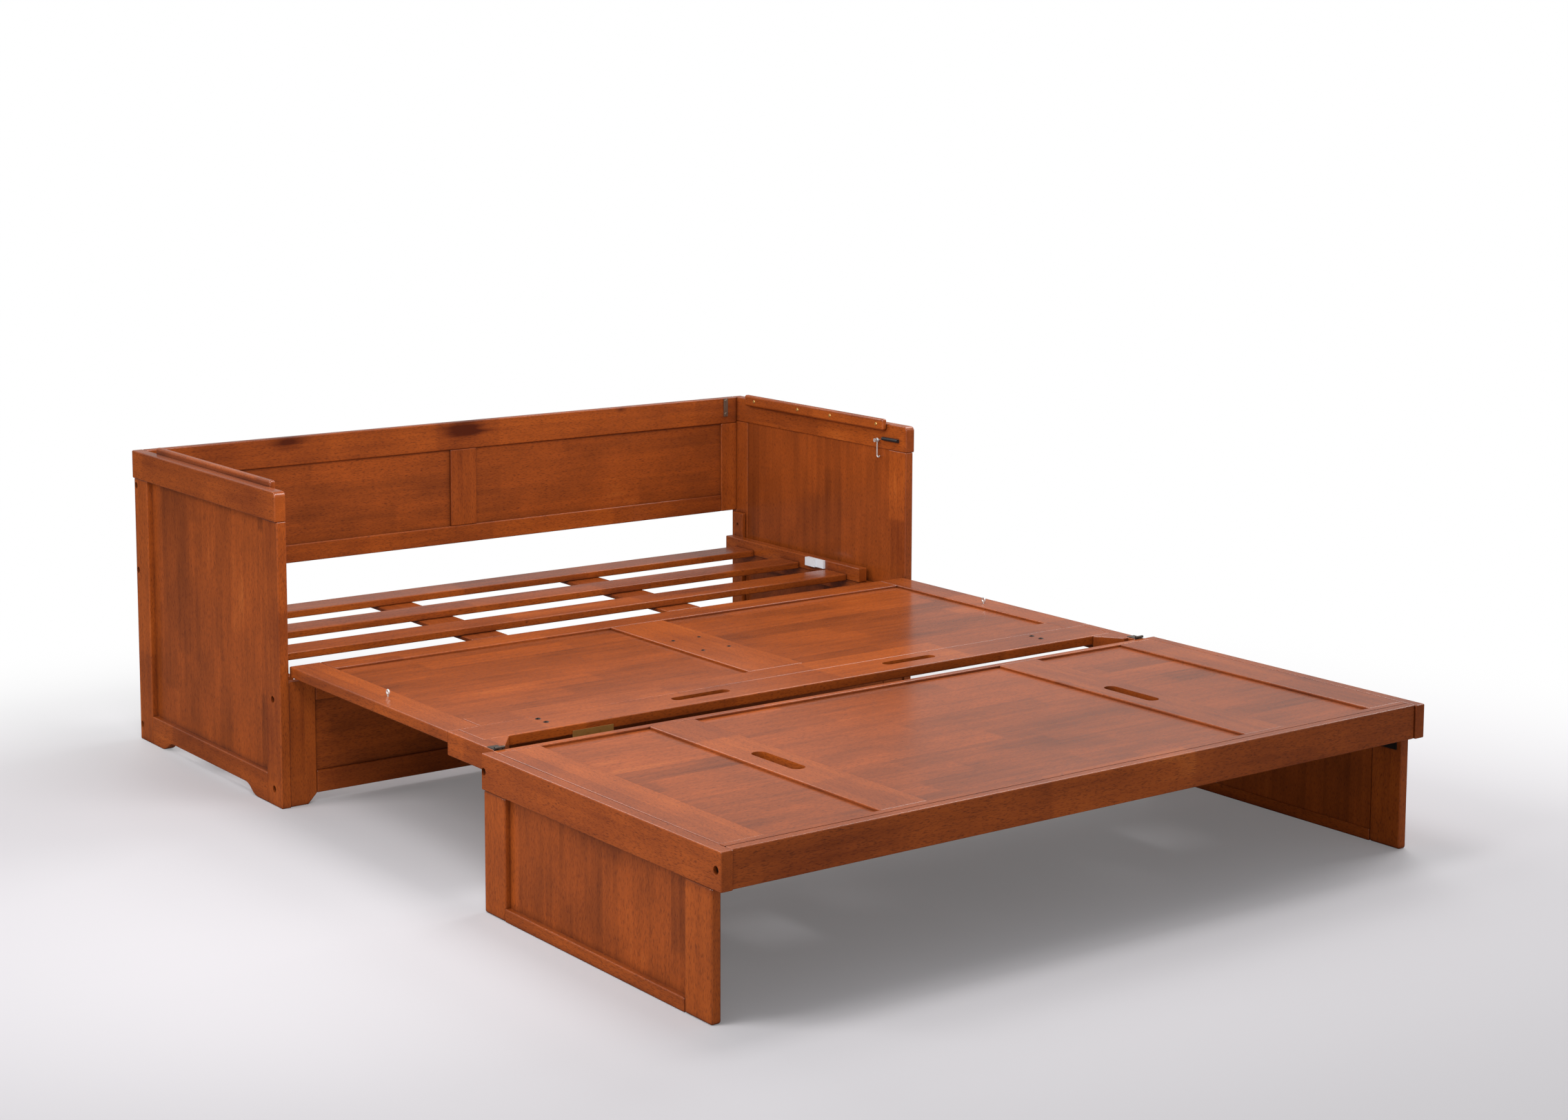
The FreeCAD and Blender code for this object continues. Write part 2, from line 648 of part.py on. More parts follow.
group("deck_cross_members", [
    board(f"{name}_cross_member", outboard(side, "cross_inner", "cross_inner + cross_width"), DECK_Y,
          (f"{SLAT_BOTTOM} - cross_thick", SLAT_BOTTOM))
    for name, side in SIDES])

# ---------------------------------------------------------------- middle section
MIDDLE_Z = (MIDDLE_BOTTOM, "deck_height")
MIDDLE_Y = (f"{MIDDLE_FRONT} + middle_rail", f"{MIDDLE_REAR} - middle_rail")
MIDDLE_OPENING = f"({MIDDLE_HALF} - middle_side_stile)"
middle_stiles = [board("middle_centre_stile", ("-middle_centre_stile / 2", "middle_centre_stile / 2"),
                       MIDDLE_Y, MIDDLE_Z)]
for name, side in SIDES:
    stile = board(f"middle_{name}_stile", outboard(side, MIDDLE_OPENING, MIDDLE_HALF),
                  (MIDDLE_FRONT, MIDDLE_REAR), MIDDLE_Z)
    across = "middle_side_stile - middle_eye_inset" if side > 0 else "middle_eye_inset"
    drill(stile, "eye_hole", across, "middle_reach - middle_eye_reach", "middle_thick - middle_eye_grip",
          None, "hook_wire", "middle_eye_grip")
    middle_stiles.append(stile)
group("middle_stiles", middle_stiles)
middle_x = (f"-{MIDDLE_OPENING}", MIDDLE_OPENING)
group("middle_rails", [
    board("middle_rear_rail", middle_x, (MIDDLE_Y[1], MIDDLE_REAR), MIDDLE_Z),
    board("middle_front_rail", middle_x, (MIDDLE_FRONT, MIDDLE_Y[0]), MIDDLE_Z)])
group("middle_panels", [
    board(f"middle_{name}_panel", outboard(side, "middle_centre_stile / 2", MIDDLE_OPENING), MIDDLE_Y,
          ("deck_height - panel_recess - panel_thick", "deck_height - panel_recess"), None)
    for name, side in SIDES])
header = board("header", (f"-{CHEEK_INNER}", CHEEK_INNER), (HEADER_FACE, MIDDLE_FRONT),
               ("deck_height - header_thick", "deck_height"))
for name, side in SIDES:
    slot_middle = f"{CHEEK_INNER} + {side} * (header_slot_start + header_slot_long / 2)"
    long_slot(header, f"{name}_hand_slot", slot_middle, "header_slot_inset", "header_slot_long",
              "header_slot_wide", "header_thick")
keep(header, "header")


def cheek(name, side):
    """A side arm of the header, with a slanted gusset in the corner that it makes with the board."""
    long = f"({MIDDLE_FRONT} - {CHEEK_END})"
    board_face = f"({HEADER_FACE} - {CHEEK_END})"
    inner, outer = "gusset_wide", "gusset_wide + cheek_thick"
    nose = f"{board_face} - gusset_long"
    points = [(inner, "0"), (outer, "0"), (outer, long), (inner, long), (inner, board_face),
              ("0", board_face), ("gusset_wide - gusset_nose", nose), (inner, nose)]
    if side < 0:
        points = [(f"gusset_wide + cheek_thick - ({x})", y) for x, y in points]
    body = padded(f"{name}_cheek", points, "header_tall")
    place(body, outboard(side, f"{CHEEK_INNER} - gusset_wide", MIDDLE_HALF)[0], CHEEK_END,
          "deck_height - header_tall")
    return body


group("cheeks", [cheek(name, side) for name, side in SIDES])

# ---------------------------------------------------------------- foot section
FOOT_Z = (FOOT_RAIL_BOTTOM, "deck_height")
FOOT_FRAME_Z = (MIDDLE_BOTTOM, "deck_height")
foot_rails = []
for name, side in SIDES:
    rail = board(f"foot_{name}_rail", outboard(side, FOOT_INSIDE, HALF), (FOOT_FRONT, FOOT_REAR), FOOT_Z)
    outer = "foot_rail_thick" if side > 0 else "0"
    ends = (("front", f"{APRON_FACE} + apron_thick / 2 - {FOOT_FRONT}"),
            ("rear", f"{FOOT_REAR} - foot_rear_thick / 2 - {FOOT_FRONT}"))
    for end, along in ends:
        bolt_hole(rail, end, side, along, f"{FOOT_BOLT} - {FOOT_RAIL_BOTTOM}", outer)
    foot_rails.append(rail)
group("foot_side_rails", foot_rails)
foot_x = (f"-{FOOT_INSIDE}", FOOT_INSIDE)
apron = board("foot_apron", foot_x, (APRON_FACE, APRON_BACK),
              (FOOT_RAIL_BOTTOM, "deck_height"))
rear_rail = board("foot_rear_rail", foot_x, (PLATFORM_REAR, FOOT_REAR), FOOT_Z)
for rail, depth in ((apron, "apron_thick"), (rear_rail, "foot_rear_thick")):
    for name, side in SIDES:
        bolt_end(rail, f"{name}_bolt", side, f"{depth} / 2", f"{FOOT_BOLT} - {FOOT_RAIL_BOTTOM}",
                 f"2 * {FOOT_INSIDE}" if side > 0 else "0")
keep(apron, "foot_apron")
keep(rear_rail, "foot_rear_rail")
keep(board("platform_front_rail", foot_x, (APRON_BACK, PLATFORM_FRONT), FOOT_FRAME_Z, None),
     "platform_front_rail")
platform_y = (PLATFORM_FRONT, PLATFORM_REAR)
group("platform_edge_stiles", [
    board(f"platform_{name}_edge_stile", outboard(side, EDGE_STILE_FACE, FOOT_INSIDE), platform_y,
          FOOT_FRAME_Z)
    for name, side in SIDES])


def slotted_stile(name, side):
    """A wide stile of the platform with a hand slot along it."""
    body = board(f"platform_{name}_slotted_stile", outboard(side, SLOT_STILE_INNER, SLOT_STILE_OUTER),
                 platform_y, FOOT_FRAME_Z)
    slot_middle = f"{FOOT_REAR} - {PLATFORM_FRONT} - foot_slot_start - foot_slot_long / 2"
    long_slot(body, "hand_slot", "platform_slot_stile / 2", slot_middle, "foot_slot_long", "foot_slot_wide",
              "middle_thick", QUARTER)
    return body


group("platform_slotted_stiles", [slotted_stile(name, side) for name, side in SIDES])
panel_z = ("deck_height - panel_recess - panel_thick", "deck_height - panel_recess")
platform_panels = [board("platform_centre_panel", (f"-{SLOT_STILE_INNER}", SLOT_STILE_INNER), platform_y,
                         panel_z, None)]
for name, side in SIDES:
    panel_x = outboard(side, SLOT_STILE_OUTER, EDGE_STILE_FACE)
    platform_panels.append(board(f"platform_{name}_panel", panel_x, platform_y, panel_z, None))
group("platform_panels", platform_panels)

# ---------------------------------------------------------------- leg frames
LEG_STILE_Y = {"rear": (f"{FOOT_REAR} - leg_rear_stile", FOOT_REAR),
               "front": (LEG_FRONT, f"{LEG_FRONT} + leg_front_stile")}
LEG_OPENING_Y = (LEG_STILE_Y["front"][1], LEG_STILE_Y["rear"][0])
for name, side in SIDES:
    leg_x = outboard(side, LEG_INSIDE, STILE_FACE)
    panel_face = f"{LEG_INSIDE} + side_panel_inset"
    panel_x = outboard(side, panel_face, f"{panel_face} + side_panel_thick")
    group(f"{name}_leg_stiles", [board(f"{name}_leg_{end}_stile", leg_x, span, ("0", LEG_TOP), "leg_ease")
                                 for end, span in LEG_STILE_Y.items()])
    keep(board(f"{name}_leg_rail", leg_x, LEG_OPENING_Y, ("0", "leg_bottom_rail")), f"{name}_leg_rail")
    keep(board(f"{name}_leg_panel", panel_x, LEG_OPENING_Y, ("leg_bottom_rail", LEG_TOP), None),
         f"{name}_leg_panel")

# ---------------------------------------------------------------- hinges
KINDS = {
    # long, wide, offset of the leaf's back from the axis, leaf thickness, pin radius
    "middle": ("middle_hinge_long", "middle_hinge_wide", "hinge_offset", "leaf_thick", "pin_radius"),
    "foot": ("foot_hinge_long", "foot_hinge_wide", "foot_hinge_offset", "foot_leaf_thick",
             "foot_pin_radius"),
    "leg": ("leg_hinge_long", "leg_hinge_wide", "hinge_offset", "leaf_thick", "pin_radius"),
}


def hinge_leaf(label, kind, holds_pin, along, back, up, spot):
    """One leaf of a butt hinge with its knuckles. Its own X runs along the pin, its back faces +Y
    and it hangs down its own Z from the pin. The leaf that holds the pin has the two outer knuckles."""
    long, wide, offset, thick, pin = KINDS[kind]
    knuckle = f"({offset} - knuckle_gap)"
    body = doc.addObject("PartDesign::Body", label)
    plate = feature(body, "AdditiveBox", "plate", Length=long, Width=thick, Height=f"{wide} - {offset}")
    place(plate, f"-{long} / 2", f"{offset} - {thick}", f"-{wide}")
    roll_long = f"({long} / 3 - knuckle_gap)"
    starts = [f"-{long} / 2", f"{long} / 2 - {roll_long}"] if holds_pin else [f"-{roll_long} / 2"]
    for i, start in enumerate(starts):
        tab = feature(body, "AdditiveBox", f"tab{i}", Length=roll_long, Width=thick, Height=offset)
        place(tab, start, f"{offset} - {thick}", f"-{offset}")
        roll = feature(body, "AdditiveCylinder", f"knuckle{i}", Radius=knuckle, Height=roll_long)
        place(roll, start, "0", "0", TO_RIGHT)
    bore = pin if holds_pin else f"{pin} + pin_play"
    drill(body, "bore", f"-{long} / 2", "0", "0", TO_RIGHT, bore, long)
    place(body, *spot, FreeCAD.Rotation(along, back, up, "XYZ"))
    return body


def hinge_pin(label, kind, along, spot):
    """The pin of a hinge, as long as its knuckles."""
    long, pin = KINDS[kind][0], KINDS[kind][4]
    body = doc.addObject("PartDesign::Body", label)
    feature(body, "AdditiveCylinder", "rod", Radius=pin, Height=long)
    turn = TO_RIGHT if along.x else TO_BACK
    x, y, z = spot
    start = (f"{x} - {long} / 2", y, z) if along.x else (x, f"{y} - {long} / 2", z)
    place(body, *start, turn)
    return body


middle_spots = [(f"{step} * middle_hinge_spacing", MIDDLE_AXIS_Y, MIDDLE_AXIS_Z) for step in (-1, 0, 1)]
group("middle_hinge_fixed_leaves", [hinge_leaf(f"middle_fixed_leaf{i}", "middle", True, X, Y, Z, spot)
                                    for i, spot in enumerate(middle_spots)])
group("middle_hinge_moving_leaves", [hinge_leaf(f"middle_moving_leaf{i}", "middle", False, -X, Z, Y, spot)
                                     for i, spot in enumerate(middle_spots)])
group("middle_hinge_pins", [hinge_pin(f"middle_pin{i}", "middle", X, spot)
                            for i, spot in enumerate(middle_spots)])
foot_spots = [(f"{side} * ({MIDDLE_HALF} - cheek_thick / 2)", FOOT_AXIS_Y, FOOT_AXIS_Z)
              for name, side in SIDES]
group("foot_hinge_fixed_leaves", [hinge_leaf(f"foot_fixed_leaf{i}", "foot", True, -X, -Z, -Y, spot)
                                  for i, spot in enumerate(foot_spots)])
group("foot_hinge_moving_leaves", [hinge_leaf(f"foot_moving_leaf{i}", "foot", False, -X, -Y, Z, spot)
                                   for i, spot in enumerate(foot_spots)])
group("foot_hinge_pins", [hinge_pin(f"foot_pin{i}", "foot", X, spot) for i, spot in enumerate(foot_spots)])
leg_fixed, leg_pins = [], []
for name, side in SIDES:
    out = X * side
    spots = [(f"{side} * {LEG_AXIS_X}", y, LEG_AXIS_Z)
             for y in (f"{FOOT_REAR} - leg_hinge_inset", f"{LEG_FRONT} + leg_front_stile / 2")]
    moving = []
    for i, spot in enumerate(spots):
        leg_fixed.append(hinge_leaf(f"{name}_leg_fixed_leaf{i}", "leg", True, out.cross(-Z), out, -Z, spot))
        moving.append(hinge_leaf(f"{name}_leg_moving_leaf{i}", "leg", False, out.cross(Z), out, Z, spot))
        leg_pins.append(hinge_pin(f"{name}_leg_pin{i}", "leg", Y, spot))
    group(f"{name}_leg_hinge_leaves", moving)
group("leg_hinge_fixed_leaves", leg_fixed)
group("leg_hinge_pins", leg_pins)

# ---------------------------------------------------------------- bolts
cabinet_bolts, foot_bolts = [], []
for name, side in SIDES:
    front_y, rear_y = f"{FRONT} + front_bolt_inset", f"{REAR} - rear_bolt_inset"
    places = [(front_y, LOW_BOLT), (front_y, FRONT_BOLT), (rear_y, LOW_BOLT), (rear_y, BACK_LOW_BOLT),
              (rear_y, BACK_HIGH_BOLT)]
    for i, (y, z) in enumerate(places):
        cabinet_bolts.append(bolt(f"{name}_bolt{i}", side, STILE_FACE, y, z))
    ends = (("front", f"{APRON_FACE} + apron_thick / 2"), ("rear", f"{FOOT_REAR} - foot_rear_thick / 2"))
    for end, y in ends:
        foot_bolts.append(bolt(f"foot_{name}_{end}_bolt", side, HALF, y, FOOT_BOLT))
group("cabinet_bolts", cabinet_bolts)
group("foot_bolts", foot_bolts)

# ---------------------------------------------------------------- hooks, eyes, stops and plates
HOOK_X = f"({INSIDE} - hook_screw_reach / 2)"
HOOK_LOOP = "(hook_screw_radius + pin_play + hook_wire)"
HOOK_Y = f"({FRONT} + hook_setback)"
HALF_RING_BELOW = FreeCAD.Rotation(Y, -Z, -X, "XYZ")


def solid(kind, label, x, y, z, rotation=None, **sizes):
    """A plain solid of the document, bound and placed by formulas."""
    item = doc.addObject(f"Part::{kind}", label)
    for prop, text in sizes.items():
        bind(item, prop, text)
    place(item, x, y, z, rotation)
    return item


def fused(label, parts):
    """Several plain solids joined into one piece."""
    item = doc.addObject("Part::MultiFuse", label)
    item.Shapes = parts
    return item


def hook(name, side):
    """A steel hook: a closed loop on its screw, a straight shank and an open bend at the tip."""
    x = f"{side} * {HOOK_X}"
    shank_top = f"{HOOK_HEIGHT} - {HOOK_LOOP}"
    tip_z = f"{HOOK_HEIGHT} - hook_length"
    loop = solid("Torus", f"{name}_hook_loop", x, HOOK_Y, HOOK_HEIGHT, TO_LEFT,
                 Radius1=HOOK_LOOP, Radius2="hook_wire")
    shank = solid("Cylinder", f"{name}_hook_shank", x, HOOK_Y, tip_z,
                  Radius="hook_wire", Height=f"{shank_top} - ({tip_z})")
    bend = solid("Torus", f"{name}_hook_bend", x, f"{HOOK_Y} - hook_bend", tip_z, HALF_RING_BELOW,
                 Radius1="hook_bend", Radius2="hook_wire")
    bend.Angle3 = 180
    return keep(fused(f"{name}_hook", [loop, shank, bend]), f"{name}_hook")


def hook_screw(name, side):
    """The round-headed screw in the top rail that a hook hangs and turns on."""
    inner = f"{side} * ({INSIDE} - hook_screw_reach)"
    turn = TO_RIGHT if side > 0 else TO_LEFT
    shank = solid("Cylinder", f"{name}_screw_shank", inner, HOOK_Y, HOOK_HEIGHT, turn,
                  Radius="hook_screw_radius", Height="hook_screw_reach + hook_screw_grip")
    head = solid("Cylinder", f"{name}_screw_head", f"{inner} - {side} * hook_screw_cap",
                 HOOK_Y, HOOK_HEIGHT, turn, Radius="hook_screw_head", Height="hook_screw_cap")
    return fused(f"{name}_hook_screw", [shank, head])


def bumper(name, side):
    """A rubber stop rod on a flat foot, which the closed middle section rests against."""
    y = f"{FRONT_FACE} + middle_thick + bumper_stop"
    rod = solid("Cylinder", f"{name}_bumper_rod", f"{side} * ({INSIDE} - bumper_radius)", y, BUMPER_HEIGHT,
                TO_BACK, Radius="bumper_radius", Height="bumper_long")
    flat = solid("Box", f"{name}_bumper_foot", outboard(side, f"{INSIDE} - bumper_radius", INSIDE)[0], y,
                 f"{BUMPER_HEIGHT} - bumper_radius", Length="bumper_radius", Width="bumper_long",
                 Height="2 * bumper_radius")
    return fused(f"{name}_bumper", [rod, flat])


def middle_eye(name, side):
    """A screw eye standing on the middle section's edge stile, for the hook to catch."""
    x, y = f"{side} * ({MIDDLE_HALF} - middle_eye_inset)", f"{FRONT} - middle_eye_reach"
    ring = solid("Torus", f"{name}_eye_ring", x, y, "deck_height + middle_eye_rise", TO_LEFT,
                 Radius1="middle_eye_radius", Radius2="hook_wire")
    shank = solid("Cylinder", f"{name}_eye_shank", x, y, "deck_height - middle_eye_grip",
                  Radius="hook_wire", Height="middle_eye_grip + middle_eye_rise - middle_eye_radius")
    return fused(f"{name}_eye", [ring, shank])


for name, side in SIDES:
    hook(name, side)
group("hook_screws", [hook_screw(name, side) for name, side in SIDES])
group("bumpers", [bumper(name, side) for name, side in SIDES])
group("middle_eyes", [middle_eye(name, side) for name, side in SIDES])
keep(board("strike_plate", (f"{INSIDE} - strike_inset - strike_wide", f"{INSIDE} - strike_inset"),
           (f"{BACK_FACE} - strike_thick", BACK_FACE), (f"{STRIKE_TOP} - strike_tall", STRIKE_TOP), None),
     "strike_plate")
keep(board("header_plate", ("-plate_inset - plate_wide", "-plate_inset"),
           (f"{HEADER_FACE} - plate_thick", HEADER_FACE),
           ("deck_height - plate_drop - plate_tall", "deck_height - plate_drop"), None), "header_plate")
clip_y = f"{FRONT} + clip_setback"
clip_block = solid("Box", "clip_block", f"{DECK_RAIL_FACE} - clip_block_deep", clip_y, SLAT_TOP,
                   Length="clip_block_deep", Width="clip_block_long", Height="slat_drop")
clip_tab = solid("Box", "clip_tab", f"{DECK_RAIL_FACE} - clip_tab_deep", f"{clip_y} - clip_tab_long",
                 SLAT_TOP, Length="clip_tab_deep", Width="clip_tab_long", Height="slat_drop")
keep(fused("slat_clip", [clip_block, clip_tab]), "slat_clip")

# ---------------------------------------------------------------- check and write
doc.recompute()
for item in doc.Objects:
    if {"Invalid", "Error"} & set(item.State):
        raise RuntimeError(f"{item.Name} failed: {item.State}")
os.makedirs("parts", exist_ok=True)
for node in nodes:
    if node.Shape.isNull() or not node.Shape.isValid() or not node.Shape.Solids:
        raise RuntimeError(f"{node.Label} has no valid solid")
    node.Shape.exportStep(f"parts/{node.Label}.step")
    box = node.Shape.BoundBox
    spans = [f"{box.XMin:.1f} to {box.XMax:.1f}", f"{box.YMin:.1f} to {box.YMax:.1f}",
             f"{box.ZMin:.1f} to {box.ZMax:.1f}"]
    print(node.Label, len(node.Shape.Solids), "solids", f"{node.Shape.Volume:.0f} mm3", *spans)
print(len(nodes), "nodes")
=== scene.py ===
# %% [markdown]
# # A cabinet bed in stained rubberwood, opened out flat
#
# By day this piece is a low cabinet. For the night its front folds down to make the middle of the
# bed, and a second section with two leg frames swings out to make the foot end. Its parts come from
# the CAD frame, where they have their real sizes. The cells below give them their finish, add the
# screw heads that the frame leaves out, and set up a studio like the one in the photograph.

# %% The frame
import math

import bpy
from mathutils import Euler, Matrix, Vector


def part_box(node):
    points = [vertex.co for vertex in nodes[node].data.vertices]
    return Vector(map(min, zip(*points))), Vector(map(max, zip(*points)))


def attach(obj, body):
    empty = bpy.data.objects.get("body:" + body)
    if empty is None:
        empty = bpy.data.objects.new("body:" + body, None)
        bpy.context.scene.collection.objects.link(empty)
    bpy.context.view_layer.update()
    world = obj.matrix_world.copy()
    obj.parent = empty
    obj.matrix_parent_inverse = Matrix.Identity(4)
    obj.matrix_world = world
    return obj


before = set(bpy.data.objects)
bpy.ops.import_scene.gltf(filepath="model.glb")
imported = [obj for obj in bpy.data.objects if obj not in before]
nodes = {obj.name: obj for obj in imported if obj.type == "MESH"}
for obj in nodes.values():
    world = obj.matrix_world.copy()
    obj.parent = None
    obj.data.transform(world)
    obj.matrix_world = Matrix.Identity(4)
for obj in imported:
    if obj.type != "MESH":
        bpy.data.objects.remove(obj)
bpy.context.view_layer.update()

# %% [markdown]
# ## One helper for every node
#
# Materials and Geometry Nodes are both graphs of nodes. A graph could be drawn by hand in the editor,
# but written out it can be read and changed by anyone. One small function is enough: it adds a node,
# sets its properties, and either fills in an input or links it to what feeds it. Two more helpers
# turn a colour's code to linear light and start a material.


# %% Helpers for nodes, colours and materials
COLOUR_A, COLOUR_B, COLOUR_RESULT = 6, 7, 2    # the colour sockets of a Mix node, by their order


def add(tree, kind, inputs=None, **settings):
    """Add a node. An input is given a value, or the output that feeds it, or a node for its first output."""
    made = tree.nodes.new(kind)
    for name, value in settings.items():
        setattr(made, name, value)
    for key, value in (inputs or {}).items():
        if isinstance(value, bpy.types.Node):
            value = value.outputs[0]
        if isinstance(value, bpy.types.NodeSocket):
            tree.links.new(value, made.inputs[key])
        else:
            made.inputs[key].default_value = value
    return made


def linear(code):
    """The scene-linear colour of an sRGB hex code."""
    channels = [int(code[i:i + 2], 16) / 255 for i in (1, 3, 5)]
    return [c / 12.92 if c <= 0.04045 else ((c + 0.055) / 1.055) ** 2.4 for c in channels] + [1.0]


def new_material(name):
    """A plain material: the material itself, its tree, its shader and its object coordinates."""
    material = bpy.data.materials.new(name)
    material.use_nodes = True
    tree = material.node_tree
    shader = tree.nodes["Principled BSDF"]
    where = add(tree, "ShaderNodeTexCoord").outputs["Object"]
    return material, tree, shader, where


print("a mid grey, #808080, is", round(linear("#808080")[0], 3), "in linear light")

# %% [markdown]
# ## The wood: rubberwood, cherry stain, satin lacquer
#
# Rubberwood is a plantation timber. It comes in short lengths, so boards are made up of pieces glued
# end to end with a zigzag finger joint, and wide panels of strips glued side by side. Each piece
# takes the stain a little differently, which gives the surface its patches of lighter and darker
# brown. Between them run fine dark pores, along the grain.
#
# The wood could be a photograph wrapped round each board, but a built-up pattern runs through the
# board like real grain, and never repeats. It has five layers, each at its own scale: the tone of
# each glued piece, broad blotches of stain, the figure of the growth rings, the pores, and a darker
# tone in corners, which is partly stain that collects there and partly painted shade. The grain has
# to run along each board, so there is one material for each direction.

# %% Sizes of the wood's pattern, in metres
PIECE_LENGTH = 0.34      # from one finger joint to the next
RAIL_STRIP = 0.23        # wider than a rail, so that a rail is mostly one strip
PANEL_STRIP = 0.068      # the strips of a panel
FIRST_ROW, FIRST_LAYER = 0.317, 0.153    # where the first strip begins, in strips from the middle
FINGER_PITCH = 0.004     # from tooth to tooth of a finger joint
FINGER_REACH = 0.010     # how deep the teeth of one piece go into the other
BLOTCH_WIDE, BLOTCH_LONG = 0.09, 0.162
FIGURE_WIDE, FIGURE_LONG = 0.014, 0.30
PORE_WIDE, PORE_LONG = 0.0012, 0.008    # real pores are 0.2 mm wide: drawn as fine as still shows
CORNER_STAIN_AND_SHADE_REACH = 0.012     # how far the darker stain and the painted shade come out of a corner
LACQUER_WAVE, LACQUER_RELIEF = 0.006, 0.0004
print("a pore is", round(PORE_LONG / PORE_WIDE, 1), "times as long as wide")

# %% [markdown]
# The layers add up to one number, the tone. At 0 it is the darkest stain and at 1 the lightest. Each
# layer runs from 0 to 1, and what follows says how far it moves the tone.

# %% Strengths of the wood's layers
BASE_TONE = -0.62        # the tone before any layer is added
PIECE_STRENGTH, BLOTCH_STRENGTH, FIGURE_STRENGTH = 0.24, 0.55, 0.45
CORNER_STAIN_AND_SHADE_STRENGTH = 0.5      # an open face is 1, and a corner less: darker stain and painted shade in corners
DARK_PIECE_STRENGTH, KNOT_STRENGTH = -0.14, -0.42
KNOT_STRETCH = 2.2       # a knot's shade is so many times as long as it is high
KNOT_EDGE = 1.45         # how far out the shade fades away, in radii
KNOT_RAGGED = 0.9        # how much the figure eats into its edge
PORE_STRENGTH, PORE_STAIN = 2.6, "#421a0b"
FRAME_TONES = ("#4a1a06", "#803b14", "#9f4d19", "#c06a2a")
PANEL_TONES = ("#451a06", "#783813", "#984818", "#b66228")
GRAIN_AXES = {"X": (0, 1, 2), "Y": (1, 0, 2), "Z": (2, 0, 1)}    # along, across and through the board
print(len(FRAME_TONES), "tones, from the darkest to the lightest")


# %% The pieces that a board is glued up from
def glued_pieces(tree, along, across, through, strip):
    """A number from 0 to 1 for each glued piece, and the length along the board, shifted by the teeth."""
    rows = add(tree, "ShaderNodeMath", {0: across, 1: 1 / strip, 2: FIRST_ROW}, operation="MULTIPLY_ADD")
    row = add(tree, "ShaderNodeMath", {0: rows}, operation="FLOOR")
    layers = add(tree, "ShaderNodeMath", {0: through, 1: 1 / strip, 2: FIRST_LAYER}, operation="MULTIPLY_ADD")
    layer = add(tree, "ShaderNodeMath", {0: layers}, operation="FLOOR")
    strip_spot = add(tree, "ShaderNodeCombineXYZ", {0: row, 1: layer})
    stagger = add(tree, "ShaderNodeTexWhiteNoise", {"Vector": strip_spot}).outputs["Value"]
    slant = add(tree, "ShaderNodeMath", {0: across, 1: through}, operation="ADD")
    teeth = add(tree, "ShaderNodeMath", {0: slant, 1: FINGER_PITCH / 2}, operation="PINGPONG")
    slope = 2 * FINGER_REACH / FINGER_PITCH
    toothed = add(tree, "ShaderNodeMath", {0: teeth, 1: slope, 2: along}, operation="MULTIPLY_ADD")
    lengths = {0: toothed, 1: 1 / PIECE_LENGTH, 2: stagger}
    columns = add(tree, "ShaderNodeMath", lengths, operation="MULTIPLY_ADD")
    column = add(tree, "ShaderNodeMath", {0: columns}, operation="FLOOR")
    cell = add(tree, "ShaderNodeCombineXYZ", {0: column, 1: row, 2: layer})
    return add(tree, "ShaderNodeTexWhiteNoise", {"Vector": cell}).outputs["Value"], toothed


# %% The shade of a dark piece and of a knot
def dark_piece_shade(tree, toothed, start, end):
    """1 between the two ends of a glued piece and 0 outside them."""
    after = add(tree, "ShaderNodeMath", {0: toothed, 1: start}, operation="GREATER_THAN")
    before = add(tree, "ShaderNodeMath", {0: toothed, 1: end}, operation="LESS_THAN")
    return add(tree, "ShaderNodeMath", {0: after, 1: before}, operation="MULTIPLY")


def knot_shade(tree, along, through, figure, knot):
    """1 at a knot's heart and 0 outside it. A knot has a place along the rail, a height and a radius."""
    place, height, radius = knot
    squares = []
    for length, middle, reach in ((along, place, radius * KNOT_STRETCH), (through, height, radius)):
        offset = add(tree, "ShaderNodeMath", {0: length, 1: middle}, operation="SUBTRACT")
        share = add(tree, "ShaderNodeMath", {0: offset, 1: reach}, operation="DIVIDE")
        squares.append(add(tree, "ShaderNodeMath", {0: share, 1: 2.0}, operation="POWER"))
    both = add(tree, "ShaderNodeMath", {0: squares[0], 1: squares[1]}, operation="ADD")
    gap = add(tree, "ShaderNodeMath", {0: both}, operation="SQRT")
    ragged = add(tree, "ShaderNodeMath", {0: figure, 1: KNOT_RAGGED, 2: gap}, operation="MULTIPLY_ADD")
    return add(tree, "ShaderNodeMath", {0: KNOT_EDGE, 1: ragged}, operation="SUBTRACT", use_clamp=True)


# %% The lacquer
LACQUER = {"Roughness": 0.6, "Specular IOR Level": 0.03, "Coat Weight": 0.8, "Coat IOR": 1.5}
COAT_ROUGHNESS, PORE_DULLING, PORE_SINK = 0.14, 0.14, -0.35


def lacquer(tree, shader, where, pores):
    """A clear coat, a little wavy, that sinks and dulls over the pores."""
    dulling = {0: pores, 1: PORE_DULLING, 2: COAT_ROUGHNESS}
    gloss = add(tree, "ShaderNodeMath", dulling, operation="MULTIPLY_ADD")
    wave = add(tree, "ShaderNodeTexNoise", {"Vector": where, "Scale": 1 / LACQUER_WAVE, "Detail": 1.0})
    height = add(tree, "ShaderNodeMath", {0: pores, 1: PORE_SINK, 2: wave}, operation="MULTIPLY_ADD")
    bump = add(tree, "ShaderNodeBump", {"Strength": 0.12, "Distance": LACQUER_RELIEF, "Height": height})
    tree.links.new(gloss.outputs[0], shader.inputs["Coat Roughness"])
    tree.links.new(bump.outputs[0], shader.inputs["Normal"])
    tree.links.new(bump.outputs[0], shader.inputs["Coat Normal"])
    for quality, value in LACQUER.items():
        shader.inputs[quality].default_value = value


